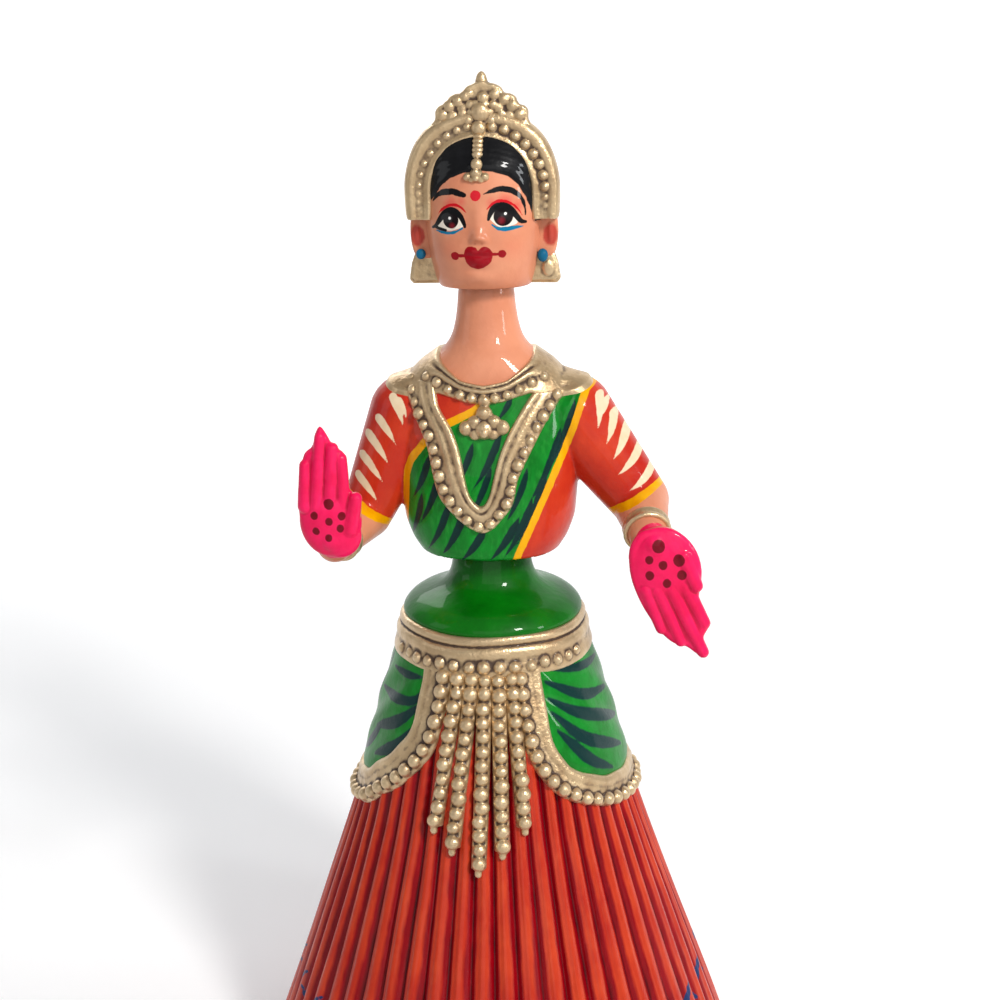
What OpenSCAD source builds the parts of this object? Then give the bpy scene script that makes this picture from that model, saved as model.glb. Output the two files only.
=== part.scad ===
// Papier-mache dancing doll: a skirt that stands still, a torso that rocks on a long wire hoop
// inside its neck, and a head that rocks on a shorter hoop inside its crown.
// The doll faces -Y. Z is up, and the origin is the middle of the base on the table.

/* [Skirt] */
// Radius of the skirt's hem at the pleat ridges
hem_r = 78.5; // [76:0.5:82]
// Number of pleats round the skirt
pleats = 50; // [46:2:54]
// Depth of a pleat at the hem
pleat_depth = 1.8; // [0.8:0.2:2.4]
// Thickness of the papier-mache
wall = 2.2; // [1.8:0.1:2.4]

/* [Rocking parts] */
// Height of the torso's cross wire above the table
torso_pivot_z = 250; // [249:0.5:251]
// Height of the head's cross wire above the table
head_pivot_z = 296; // [295:0.5:297]
// Radius of the wire in the waist hoop
waist_wire_r = 0.8; // [0.6:0.1:0.8]
// Radius of the wire in the neck hoop
neck_wire_r = 0.7; // [0.6:0.1:0.8]

/* [Ballast] */
// Height of the clay in the base
clay_h = 8; // [5:1:12]
// Thickness of the wooden base board
board_h = 4; // [3:0.5:5]

/* [Hidden] */
$fn = 48;

gap = 0.12;          // room between pieces that are set beside each other
relief_gap = 0.5;    // room left under relief that is pasted on a curved wall
run_gap = 0.05;      // room round a wire that turns

// Skirt: [height, radius at the ridges]
skirt_rows = [[0, hem_r], [16, 73], [32, 67.3], [48, 61.6], [64, 56], [80, 50.4], [96, 45],
              [112, 40.7], [128, 35.9], [144, 30.6], [156, 27.2]];
pleat_top_z = 128;   // the pleats fade out here, under the drapes
dome_r = 28;
dome_z = 156.15;     // underside of the dome's rim

// Torso and head sections: [height, half width, half depth in front, half depth behind, power]
torso_rows = [[178, 20.8, 19.5, 18.5, 2.4], [182, 23.5, 20.5, 19, 2.4], [188, 26, 21, 19, 2.4],
              [197, 27, 21.5, 18.5, 2.4], [206, 27.5, 21, 18, 2.4], [214, 27.5, 19.5, 17.5, 2.3],
              [222, 27, 17.5, 16.5, 2.2], [229, 24.5, 15.5, 15.5, 2.1], [234, 20, 14.2, 14.5, 2],
              [238, 15, 13.4, 13.7, 2], [240, 13.3, 13.1, 13.2, 2]];
head_rows = [[259, 14.6, 14.6, 14, 2.5], [262, 15.6, 16.4, 15, 2.4], [267, 16.4, 17.2, 16, 2.3],
             [274, 17, 17.2, 17, 2.2], [282, 17.6, 16.9, 17.8, 2.1], [289, 17.8, 16.2, 18, 2],
             [295, 17.4, 14.6, 17.4, 2], [300, 15.6, 11.6, 15.4, 2], [304, 11.8, 8, 11.4, 2],
             [306.5, 7, 4.6, 6.6, 2], [307.5, 3, 2.4, 3, 2]];
torso_wall = 2.0;
head_wall = 1.8;
shell_steps = 24;

// Neck: [radius, height] of the outside
neck_outline = [[11, 230], [11, 240.2], [10.2, 243], [9.3, 247], [8.7, 251], [8.3, 256], [8.1, 259],
                [7.8, 262]];
neck_bore_r = 6.2;

// Arms: centres of the shoulder, elbow and wrist, then the hand's palm and finger ends
right_joints = [[-25, 0, 219], [-38, -5, 188], [-44.5, -27, 185]];
right_radii = [12, 7.8, 5.4];
right_palm = [[-45, -31.5, 187], [-50, -33, 199], [-42, -33, 199]];
right_tips = [[-52, -33, 207], [-45.5, -34, 221.5]];
left_joints = [[25, 0, 219], [44.5, -4, 192.5], [47.5, -21, 187]];
left_radii = [12, 8.4, 5.6];
left_palm = [[47, -26, 184], [50, -28, 170], [58.5, -28, 173]];
left_tips = [[55, -28, 160], [63, -28, 152.5]];

// ---- helpers ------------------------------------------------------------------------------

function power_of(v, p) = sign(v) * pow(abs(v), 2 / p);

// A point of a section at an angle, moved outwards by off. Angles 180 to 360 are the front.
function section_point(row, a, off) =
  [(row[1] + off) * power_of(cos(a), row[4]),
   (sin(a) < 0 ? row[2] + off : row[3] + off) * power_of(sin(a), row[4]), row[0]];

// The section at any height, from the rows above and below it
function row_at(rows, z) =
  let (n = len(rows), under = [for (i = [0:n - 2]) if (rows[i][0] <= z) i],
       i = len(under) == 0 ? 0 : under[len(under) - 1],
       t = (z - rows[i][0]) / (rows[i + 1][0] - rows[i][0]))
  rows[i] * (1 - t) + rows[i + 1] * t;

function skirt_radius(z) = lookup(z, skirt_rows);

// A point of the pleated skirt: ridges stand at the radius, grooves lie under it
function pleat_point(z, step) =
  let (a = 270 + step * 180 / pleats, deep = pleat_depth * max(0, 1 - z / pleat_top_z),
       r = skirt_radius(z) - (step % 2 == 0 ? 0 : deep))
  [r * cos(a), r * sin(a), z];
function cone_point(z, a, r) = [r * cos(a), r * sin(a), z];

// Points on the three surfaces that carry relief: angle, height, distance out of the surface
on_skirt = function(a, z, off) cone_point(z, a, skirt_radius(z) + off);
on_torso = function(a, z, off) section_point(row_at(torso_rows, z), a, off);
on_head = function(a, z, off) section_point(row_at(head_rows, z), a, off);

// A closed solid between an outer and an inner grid of points with the same rows and columns
module skin(outer, inner) {
  rows = len(outer);
  cols = len(outer[0]);
  far = rows * cols;
  points = concat([for (row = outer) each row], [for (row = inner) each row]);
  function at(i, j) = i * cols + j;
  faces = concat(
    [for (i = [0:rows - 2], j = [0:cols - 2]) [at(i, j), at(i + 1, j), at(i + 1, j + 1)]],
    [for (i = [0:rows - 2], j = [0:cols - 2]) [at(i, j), at(i + 1, j + 1), at(i, j + 1)]],
    [for (i = [0:rows - 2], j = [0:cols - 2])
       [far + at(i, j), far + at(i + 1, j + 1), far + at(i + 1, j)]],
    [for (i = [0:rows - 2], j = [0:cols - 2])
       [far + at(i, j), far + at(i, j + 1), far + at(i + 1, j + 1)]],
    [for (j = [0:cols - 2]) [at(0, j), at(0, j + 1), far + at(0, j + 1), far + at(0, j)]],
    [for (j = [0:cols - 2])
       [at(rows - 1, j + 1), at(rows - 1, j), far + at(rows - 1, j), far + at(rows - 1, j + 1)]],
    [for (i = [0:rows - 2]) [at(i + 1, 0), at(i, 0), far + at(i, 0), far + at(i + 1, 0)]],
    [for (i = [0:rows - 2])
       [at(i, cols - 1), at(i + 1, cols - 1), far + at(i + 1, cols - 1), far + at(i, cols - 1)]]);
  polyhedron(points, faces, convexity = 8);
}

// Half of a shell: the front runs from 180 to 360 degrees, the back from 0 to 180
module half_shell(rows, thick, start) {
  angles = [for (j = [0:shell_steps]) start + j * 180 / shell_steps];
  skin([for (row = rows) [for (a = angles) section_point(row, a, 0)]],
       [for (row = rows) [for (a = angles) section_point(row, a, -thick)]]);
}

// A ribbon pasted on a surface, along a path of [angle, height] with a width and a thickness
module ribbon(on, path, width, thick, lift = relief_gap) {
  n = len(path);
  function girth(i) = norm(on(path[i][0] + 1, path[i][1], 0) - on(path[i][0], path[i][1], 0));
  function heading(i) =
    let (d = path[min(n - 1, i + 1)] - path[max(0, i - 1)], v = [d[0] * girth(i), d[1]]) v / norm(v);
  function edge(i, side, off) =
    let (d = heading(i))
    on(path[i][0] - side * d[1] * width / 2 / girth(i), path[i][1] + side * d[0] * width / 2, off);
  skin([for (side = [-1, 0, 1]) [for (i = [0:n - 1]) edge(i, side, lift + thick)]],
       [for (side = [-1, 0, 1]) [for (i = [0:n - 1]) edge(i, side, lift)]]);
}

// A sheet pasted on the skirt from a lower path up to a level line between two angles
module skirt_sheet(path, top_from, top_to, top_z, thick, steps = 6) {
  n = len(path);
  function at(i, k) =
    path[i] + ([top_from + (top_to - top_from) * i / (n - 1), top_z] - path[i]) * k / steps;
  skin([for (k = [0:steps]) [for (i = [0:n - 1]) on_skirt(at(i, k)[0], at(i, k)[1], relief_gap + thick)]],
       [for (k = [0:steps]) [for (i = [0:n - 1]) on_skirt(at(i, k)[0], at(i, k)[1], relief_gap)]]);
}

// The solid inside a section outline, moved outwards by off
module core(rows, off) {
  n = len(rows);
  angles = [for (j = [0:2 * shell_steps - 1]) j * 180 / shell_steps];
  m = len(angles);
  points = [for (row = rows) each [for (a = angles) section_point(row, a, off)]];
  polyhedron(points, concat(
    [[for (j = [0:m - 1]) j]], [[for (j = [m - 1:-1:0]) (n - 1) * m + j]],
    [for (i = [0:n - 2], j = [0:m - 1]) [i * m + j, (i + 1) * m + j, (i + 1) * m + (j + 1) % m]],
    [for (i = [0:n - 2], j = [0:m - 1]) [i * m + j, (i + 1) * m + (j + 1) % m, i * m + (j + 1) % m]]));
}

// A round bar between two points
module rod(p, q, r) {
  d = q - p;
  translate(p) rotate([0, acos(d[2] / norm(d)), atan2(d[1], d[0])]) cylinder(h = norm(d), r = r);
}
// A limb that tapers from joint to joint
module limb(joints, radii) {
  for (i = [0:len(joints) - 2]) hull() {
    translate(joints[i]) sphere(r = radii[i], $fn = 28);
    translate(joints[i + 1]) sphere(r = radii[i + 1], $fn = 28);
  }
}

// A wire hoop: two legs, two humps and a dip in the middle that carries the cross wire
function dip_r(r) = 2 * r + 0.15;
function hump_r(r) = 1.6 * r;
function hoop_half(r) = 2 * hump_r(r) + dip_r(r);
module wire_arc(bend, r, turn) {
  rotate([90, 0, 0]) rotate([0, 0, turn])
    rotate_extrude(angle = 180) translate([bend, 0]) circle(r = r);
}
module hoop(foot_z, pivot_z, r) {
  bend_z = pivot_z + 0.1;
  for (side = [-1, 1]) {
    translate([side * hoop_half(r), 0, foot_z]) cylinder(h = bend_z - foot_z, r = r);
    translate([side * (dip_r(r) + hump_r(r)), 0, bend_z]) wire_arc(hump_r(r), r, 0);
  }
  translate([0, 0, bend_z]) wire_arc(dip_r(r), r, 180);
}
// The holes that a hoop's legs are glued into
module leg_holes(foot_z, depth, r) {
  for (side = [-1, 1]) translate([side * hoop_half(r), 0, foot_z]) cylinder(h = depth, r = r);
}
// The straight wire that a hoop carries, from one end to the other along Y
module cross_wire(from_y, to_y, z, r) {
  translate([0, to_y, z]) rotate([90, 0, 0]) cylinder(h = to_y - from_y, r = r);
}

// ---- base ---------------------------------------------------------------------------------

inner_base_r = hem_r - pleat_depth - wall;

module base_board() {
  color("burlywood") cylinder(h = board_h, r1 = inner_base_r - 0.2, r2 = inner_base_r - 1.5);
}
module base_clay() {
  color("rosybrown") translate([0, 0, board_h])
    cylinder(h = clay_h, r1 = inner_base_r - 4, r2 = inner_base_r - 8);
}
module skirt_half(first) {
  steps = [for (j = [0:pleats]) first + j];
  z_rows = [for (row = skirt_rows) row[0]];
  function inner_r(z) = skirt_radius(z) - pleat_depth * max(0, 1 - z / pleat_top_z) - wall;
  skin([for (z = z_rows) [for (s = steps) pleat_point(z, s)]],
       [for (z = z_rows) [for (s = steps) cone_point(z, 270 + s * 180 / pleats, inner_r(z))]]);
}
module skirt_front() { color("orangered") skirt_half(-pleats / 2); }
module skirt_back() { color("orangered") skirt_half(pleats / 2); }

plug_r = 6.9;
module waist_dome() {
  color("forestgreen") difference() {
    rotate_extrude($fn = 96) polygon([
      [0, dome_z], [dome_r - 0.6, dome_z], [dome_r, dome_z + 0.8], [dome_r - 0.3, dome_z + 2],
      [26.4, 160.6],
      [24, 162.2], [20, 164], [16.6, 165.3], [14.6, 166.8], [13.2, 168.8], [12.6, 171], [12.2, 173],
      [11, 176], [10.2, 179], [10.2, 183.4], [9.7, 184], [0, 184]]);
    translate([0, 0, dome_z - 1]) cylinder(h = 30, r = plug_r + run_gap);
  }
}
module waist_plug() {
  color("burlywood") difference() {
    translate([0, 0, dome_z]) cylinder(h = 27, r = plug_r);
    leg_holes(dome_z + 5, 30, waist_wire_r);
  }
}
module waist_hoop() {
  color("silver") hoop(dome_z + 5, torso_pivot_z, waist_wire_r);
}

belt_low = 145;
module waist_belt() {
  color("goldenrod") rotate_extrude($fn = 96) polygon([
    [skirt_radius(belt_low) + gap, belt_low], [skirt_radius(belt_low) + 1.3, belt_low],
    [skirt_radius(148) + 1.9, 148], [skirt_radius(152) + 1.6, 152], [dome_r + 0.5, 155.4],
    [dome_r - 0.2, 156], [skirt_radius(156) + gap, 156]]);
}

// The drapes hang over the hips. The path is the middle of the beaded border, as angles from the
// doll's front and heights, from the belt down, round the hip and up to the belt behind.
drape_path = [[26, 141], [26, 134], [26.5, 128], [29, 120], [33, 112], [40, 106.5], [50, 102.5],
              [62, 100.5], [76, 100], [90, 100], [104, 100.5], [118, 102], [130, 105], [140, 110],
              [147, 118], [151, 128], [153, 141]];
border_w = 6.4;
function turned(path, side) = [for (p = path) [270 + side * p[0], p[1]]];
// The green field starts inside the border. A degree round the hip is about degree_w long.
degree_w = 0.62;
field_step = border_w / 2 + 0.25;
function inside(path) = [for (i = [0:len(path) - 1])
  let (d = path[min(len(path) - 1, i + 1)] - path[max(0, i - 1)],
       way = [d[0] * degree_w, d[1]],
       v = way / norm(way))
  [path[i][0] - v[1] * field_step / degree_w, min(144, path[i][1] + v[0] * field_step)]];
module hip_drape() {
  skirt_sheet(turned(inside(drape_path), -1), 270 - 33, 270 - 146, 144.6, 0.8);
}
module drape_border() {
  ribbon(on_skirt, turned(drape_path, -1), border_w, 1.3);
}
module right_hip_drape() { color("green") hip_drape(); }
module left_hip_drape() { color("green") mirror([1, 0, 0]) hip_drape(); }
module right_drape_border() { color("goldenrod") drape_border(); }
module left_drape_border() { color("goldenrod") mirror([1, 0, 0]) drape_border(); }

// Strings of beads hang from the belt: [angle at the top, angle at the bottom, lowest height].
// Each is threaded on a cord that follows the beads.
strings = [[-15, -20, 102.5], [-7.5, -12, 97], [0, -1.8, 91.5], [7.5, 7, 96.5], [15, 16, 103]];
string_top = 142.6;
bead_r = 2.0;
module bead_string(k) {
  path = strings[k];
  count = round((string_top - path[2]) / 4.1);
  function bead(i) = on_skirt(270 + path[0] + (path[1] - path[0]) * i / count,
                              string_top + (path[2] - string_top) * i / count, bead_r + 0.35);
  color("goldenrod") {
    for (i = [0:count]) translate(bead(i)) sphere(r = bead_r, $fn = 24);
    for (i = [0:count - 1]) rod(bead(i), bead(i + 1), 0.9);
  }
}
module bead_string_1() { bead_string(0); }
module bead_string_2() { bead_string(1); }
module bead_string_3() { bead_string(2); }
module bead_string_4() { bead_string(3); }
module bead_string_5() { bead_string(4); }

// ---- torso --------------------------------------------------------------------------------

module torso_cross_wire() {
  color("silver")
    cross_wire(-neck_bore_r - 1.2, neck_bore_r + 1.2, torso_pivot_z, waist_wire_r - run_gap);
}
module torso_front() { color("orangered") half_shell(torso_rows, torso_wall, 180); }
module torso_back() { color("orangered") half_shell(torso_rows, torso_wall, 0); }
// A lump of clay inside the torso's back balances the arms and hands in front. Its front is flat.
clay_from = 56;
clay_to = 161;
clay_front_y = 5.8;
clay_rows = [for (z = [187, 192, 197, 202, 207, 212, 217]) row_at(torso_rows, z)];
module torso_clay() {
  angles = [for (j = [0:16]) clay_from + j * (clay_to - clay_from) / 16];
  function back(row, a) = section_point(row, a, -torso_wall - gap);
  function front(row, a) = [0.8 * back(row, a)[0], clay_front_y, row[0]];
  color("rosybrown") skin([for (row = clay_rows) [for (a = angles) back(row, a)]],
                          [for (row = clay_rows) [for (a = angles) front(row, a)]]);
}
module neck_tube() {
  color("sandybrown") difference() {
    rotate_extrude() polygon(concat([[0, 230]], neck_outline, [[0, 262]]));
    translate([0, 0, 229]) cylinder(h = 40, r = neck_bore_r);
    translate([0, 0, 229]) cylinder(h = 15, r1 = 9, r2 = neck_bore_r);
    cross_wire(-neck_bore_r - 1.3, neck_bore_r + 1.3, torso_pivot_z, waist_wire_r);
  }
}
module neck_plug() {
  color("burlywood") difference() {
    translate([0, 0, 254.5]) cylinder(h = 7.5, r = neck_bore_r - run_gap);
    leg_holes(255.5, 10, neck_wire_r);
  }
}
module neck_hoop() {
  color("silver") hoop(255.5, head_pivot_z, neck_wire_r);
}

// The arms are moulded on the torso, so its outline is cut out of them
module arm(joints, radii) {
  color("sandybrown") difference() {
    limb(joints, radii);
    core(torso_rows, gap);
  }
}
module right_arm() { arm(right_joints, right_radii); }
module left_arm() { arm(left_joints, left_radii); }

// A gold ring round the forearm just behind the wrist
module bangle(joints, radii) {
  d = joints[1] - joints[2];
  share = 0.16;
  r = radii[2] + (radii[1] - radii[2]) * share;
  color("goldenrod") translate(joints[2] + d * share)
    rotate([0, acos(d[2] / norm(d)), atan2(d[1], d[0])])
      rotate_extrude() translate([r + 0.95, 0]) circle(r = 0.8, $fn = 24);
}
module right_bangle() { bangle(right_joints, right_radii); }
module left_bangle() { bangle(left_joints, left_radii); }

module hand(palm, tips) {
  color("deeppink") {
    hull() for (p = palm) translate(p) sphere(r = 3.4, $fn = 24);
    hull() {
      translate(palm[1]) sphere(r = 3.2, $fn = 24);
      translate(palm[2]) sphere(r = 3.2, $fn = 24);
      for (p = tips) translate(p) sphere(r = 2.1, $fn = 20);
    }
  }
}
module right_hand() { hand(right_palm, right_tips); }
module left_hand() { hand(left_palm, left_tips); }

// Round the neck: the band drops in front and stands higher behind
module choker() {
  path = [for (i = [0:36]) let (a = 180 + i * 5) [a, 233.6 + 3.2 * cos(a * 2)]];
  color("goldenrod") ribbon(on_torso, path, 4.2, 1.3);
}
// From one shoulder down to the middle of the chest and up to the other
garland_low = 194;
module long_garland() {
  path = [for (i = [0:28]) let (s = -1 + i / 14, w = 57 * pow(abs(s), 0.8))
            [270 + sign(s) * w, garland_low + (235.5 - garland_low) * pow(abs(s), 1.9)]];
  color("goldenrod") ribbon(on_torso, path, 6.5, 1.5);
}
module pendant() {
  path = [[270, 216], [270, 219], [270, 222], [270, 225.2]];
  color("goldenrod") ribbon(on_torso, path, 9, 1.8);
}
module back_braid() {
  path = [for (i = [0:10]) [90, 181 + i * 5]];
  color("black") ribbon(on_torso, path, 9, 2.6);
}

// ---- head ---------------------------------------------------------------------------------

front_lug_y = -10;    // inner face of the lug behind the forehead
back_lug_y = 12;      // inner face of the lug at the back of the head
lug_bore = 1.6;
lug_r = 2.2;
module head_cross_wire() {
  color("silver") cross_wire(front_lug_y - lug_bore + 0.2, back_lug_y + lug_bore - 0.2,
                             head_pivot_z, neck_wire_r - run_gap);
}
module wire_lug(inner_y, outer_y) {
  color("burlywood") difference() {
    cross_wire(min(inner_y, outer_y), max(inner_y, outer_y), head_pivot_z, lug_r);
    cross_wire(inner_y - lug_bore, inner_y + lug_bore, head_pivot_z, neck_wire_r);
  }
}
module front_wire_lug() { wire_lug(front_lug_y, -12); }
module back_wire_lug() { wire_lug(back_lug_y, 15); }

module head_front() { color("sandybrown") half_shell(head_rows, head_wall, 180); }
module head_back() { color("black") half_shell(head_rows, head_wall, 0); }
module head_clay() {
  color("rosybrown") translate([0, 0, 267]) difference() {
    cylinder(h = 6, r = 13.4);
    translate([0, 0, -1]) cylinder(h = 8, r = 9.4);
  }
}

// The crown's arch: straight legs in front of the ears and a round top
crown_z = 287;
crown_in = 15;
crown_out = 22.4;
crown_front = -9;
module arch(r, low, h) {
  linear_extrude(height = h) intersection() {
    union() {
      translate([0, crown_z]) circle(r = r, $fn = 96);
      translate([-r, low]) square([2 * r, crown_z - low]);
    }
    translate([-r, low]) square([2 * r, crown_z - low + r]);
  }
}
module crown_band() {
  color("goldenrod") difference() {
    translate([0, crown_front + 6.5, 0]) rotate([90, 0, 0]) difference() {
      arch(crown_out, 280.5, 6.5);
      translate([0, 0, -1]) arch(crown_in, 270, 9);
    }
    core(head_rows, gap);
  }
}
// The crest: scallops that step up to a finial
crest = [[11.6, 306.3, 3.1], [8.7, 310.4, 3], [4.4, 313.2, 2.8]];
module crown_crest() {
  color("goldenrod") translate([0, crown_front + 4, 0]) rotate([90, 0, 0]) linear_extrude(height = 4)
    difference() {
      union() {
        for (c = crest, side = [-1, 1]) translate([side * c[0], c[1]]) circle(r = c[2]);
        polygon([[-14, 300], [14, 300], [12, 307], [8, 312], [0, 315.5], [-8, 312], [-12, 307]]);
        polygon([[-2.6, 313], [2.6, 313], [1.7, 318], [-1.7, 318]]);
        translate([0, 318.2]) circle(r = 1.8, $fn = 32);
      }
      translate([0, crown_z]) circle(r = crown_out + gap, $fn = 96);
    }
}
module forehead_pendant() {
  path = [[270, 288], [270, 291], [270, 294], [270, 297], [270, 299.5]];
  color("goldenrod") ribbon(on_head, path, 4.6, 1.6);
}
// Flat ears stand out under the crown's legs, and a gold drop hangs below each
module ear_plate(side, y, depth, outline) {
  translate([0, y, 0]) rotate([90, 0, 0]) linear_extrude(height = depth)
    polygon([for (p = outline) [side * p[0], p[1]]]);
}
module ear(side) {
  color("sandybrown") ear_plate(side, -0.5, 3, [[17.7, 280.2], [20.6, 280.2], [22, 277],
                                                 [22.1, 273], [21, 269.6], [19, 268.6], [16.9, 268.6]]);
}
module earring(side) {
  color("goldenrod") ear_plate(side, 0, 3.6, [[17.1, 268.3], [20.6, 268.3], [21.4, 260.5],
                                              [15.7, 260.5], [16.3, 263]]);
}
module right_ear() { ear(-1); }
module left_ear() { ear(1); }
module right_earring() { earring(-1); }
module left_earring() { earring(1); }
module hair_bun() {
  color("black") translate([0, 18.2, 281]) rotate([-90, 0, 0]) cylinder(h = 5, r1 = 9.4, r2 = 7);
}

base_board();
base_clay();
skirt_front();
skirt_back();
waist_dome();
waist_plug();
waist_hoop();
waist_belt();
right_hip_drape();
left_hip_drape();
right_drape_border();
left_drape_border();
bead_string_1();
bead_string_2();
bead_string_3();
bead_string_4();
bead_string_5();
torso_cross_wire();
torso_front();
torso_back();
torso_clay();
neck_tube();
neck_plug();
neck_hoop();
right_arm();
left_arm();
right_bangle();
left_bangle();
right_hand();
left_hand();
choker();
long_garland();
pendant();
back_braid();
head_cross_wire();
head_front();
head_back();
head_clay();
front_wire_lug();
back_wire_lug();
crown_band();
crown_crest();
forehead_pendant();
right_ear();
left_ear();
right_earring();
left_earring();
hair_bun();
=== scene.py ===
import bpy
import math
import numpy as np
from mathutils import Matrix, Vector
from mathutils.bvhtree import BVHTree


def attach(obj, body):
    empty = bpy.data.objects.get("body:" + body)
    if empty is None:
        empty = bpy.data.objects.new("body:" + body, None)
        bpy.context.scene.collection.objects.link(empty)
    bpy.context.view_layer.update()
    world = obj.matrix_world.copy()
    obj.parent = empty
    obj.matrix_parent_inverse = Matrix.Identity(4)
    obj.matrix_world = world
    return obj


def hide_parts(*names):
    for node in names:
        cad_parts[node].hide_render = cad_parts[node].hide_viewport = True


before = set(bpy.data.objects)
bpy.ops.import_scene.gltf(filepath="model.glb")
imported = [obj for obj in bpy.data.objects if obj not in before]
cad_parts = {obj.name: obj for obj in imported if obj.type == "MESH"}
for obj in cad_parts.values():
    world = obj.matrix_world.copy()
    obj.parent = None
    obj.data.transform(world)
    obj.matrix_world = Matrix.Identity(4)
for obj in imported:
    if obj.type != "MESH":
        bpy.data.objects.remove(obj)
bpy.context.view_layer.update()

mm = 0.001
dice = np.random.default_rng(11)


# Every table below is in millimetres

def gridQuads(rows, cols, closed=False):
    i, j = np.meshgrid(np.arange(rows - 1), np.arange(cols if closed else cols - 1), indexing="ij")
    k = (j + 1) % cols
    quads = np.stack([i * cols + j, i * cols + k, (i + 1) * cols + k, (i + 1) * cols + j], -1)
    return quads.reshape(-1, 4).tolist()


class Pile:
    # closed solids that are cast into one piece
    def __init__(self):
        self.points, self.faces, self.count = [], [], 0

    def add(self, points, faces):
        points = np.asarray(points, float).reshape(-1, 3)
        self.points.append(points)
        self.faces += [[v + self.count for v in face] for face in faces]
        self.count += len(points)

    def rings(self, rings, closed=False):
        # a bar swept through rings of points
        rings = np.asarray(rings, float)
        n, m = rings.shape[:2]
        faces = gridQuads(n, m, True)
        if closed:
            faces += [[(n - 1) * m + j, (n - 1) * m + (j + 1) % m, (j + 1) % m, j] for j in range(m)]
        else:
            faces += [list(range(m))[::-1], [(n - 1) * m + j for j in range(m)]]
        self.add(rings, faces)

    def relief(self, wall, normals, lift, closed=False, depth=0.9):
        # a raised strip: lift gives its height at each point of the wall's grid
        lift = np.broadcast_to(lift, wall.shape[:2])[..., None]
        top, under = wall + normals * lift, wall - normals * depth
        self.rings(np.concatenate([top, under[:, ::-1]], 1), closed)

    def ball(self, centre, size, turn=None, rows=9, cols=14):
        # an egg with three half sizes, turned by a 3x3 matrix
        t = np.linspace(0, math.pi, rows)[1:-1]
        a = np.linspace(0, 2 * math.pi, cols, endpoint=False)
        body = [[math.sin(q) * math.cos(b), math.sin(q) * math.sin(b), -math.cos(q)] for q in t for b in a]
        points = np.array([[0, 0, -1]] + body + [[0, 0, 1]]) * np.broadcast_to(size, 3)
        faces = [[v + 1 for v in quad] for quad in gridQuads(rows - 2, cols, True)]
        last = len(points) - 1
        for j in range(cols):
            k = (j + 1) % cols
            faces += [[0, 1 + k, 1 + j], [last, last - cols + j, last - cols + k]]
        if turn is not None:
            points = points @ np.asarray(turn).T
        self.add(points + np.asarray(centre, float), faces)

    def limb(self, a, b, ra, rb, cols=28):
        # a tapered bar with round ends
        a, b = np.asarray(a, float), np.asarray(b, float)
        axis = b - a
        length = np.linalg.norm(axis)
        axis /= length
        side = np.cross(axis, [0.3, 0.9, 0.2])
        side /= np.linalg.norm(side)
        other = np.cross(axis, side)
        turn = np.linspace(0, 2 * math.pi, cols, endpoint=False)
        steps = [(ra * -math.cos(q), ra * math.sin(q)) for q in np.linspace(0.12, math.pi / 2, 7)]
        steps += [(length + rb * math.cos(q), rb * math.sin(q)) for q in np.linspace(math.pi / 2, 0.12, 7)]
        self.rings([[a + axis * s + r * (side * math.cos(q) + other * math.sin(q)) for q in turn]
                    for s, r in steps])

    def beads(self, spots, normals, pitch, size, vary, lift):
        # a row of round beads along a line, no two quite the same size
        last = None
        for spot, normal in zip(spots, normals):
            if last is None or np.linalg.norm(spot - last) > pitch:
                self.ball(spot + normal * lift, size * dice.uniform(*vary))
                last = spot

    def made(self, name):
        return makeObject(name, np.concatenate(self.points), self.faces)

    def cast(self, name, voxel, rounds):
        return markHollows(castWhole(self.made(name), voxel, rounds))


def makeObject(name, points, faces, layers=None):
    mesh = bpy.data.meshes.new(name)
    mesh.from_pydata((np.asarray(points, float).reshape(-1, 3) * mm).tolist(), [], faces)
    mesh.shade_smooth()
    thing = bpy.data.objects.new(name, mesh)
    bpy.context.scene.collection.objects.link(thing)
    for key, values in (layers or {}).items():
        paintLayer(thing, key, values)
    return thing


def paintLayer(thing, key, values):
    layer = thing.data.attributes.new(key, "FLOAT", "POINT")
    layer.data.foreach_set("value", np.asarray(values, np.float32).ravel())


def pointsOf(thing):
    flat = np.zeros(len(thing.data.vertices) * 3, np.float32)
    thing.data.vertices.foreach_get("co", flat)
    return flat.reshape(-1, 3).astype(float) / mm


def normalsOf(thing):
    flat = np.zeros(len(thing.data.vertices) * 3, np.float32)
    thing.data.vertex_normals.foreach_get("vector", flat)
    return flat.reshape(-1, 3).astype(float)


def castWhole(thing, voxel, rounds, factor=0.5):
    # joins the solids of a piece into one skin and softens it
    remesh = thing.modifiers.new("skin", "REMESH")
    remesh.mode, remesh.voxel_size, remesh.use_smooth_shade = "VOXEL", voxel * mm, True
    soften = thing.modifiers.new("soften", "SMOOTH")
    soften.factor, soften.iterations = factor, rounds
    bpy.context.view_layer.update()
    scene = bpy.context.evaluated_depsgraph_get()
    mesh = bpy.data.meshes.new_from_object(thing.evaluated_get(scene))
    thing.modifiers.clear()
    thing.data = mesh
    mesh.shade_smooth()
    return thing


def neighbourMean(values, pairs, count):
    total = np.zeros_like(values)
    for c in range(values.shape[1]):
        total[:, c] = np.bincount(pairs[:, 0], values[pairs[:, 1], c], count)
        total[:, c] += np.bincount(pairs[:, 1], values[pairs[:, 0], c], count)
    share = np.bincount(pairs.ravel(), minlength=count)
    return total / np.maximum(share, 1)[:, None]


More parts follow.
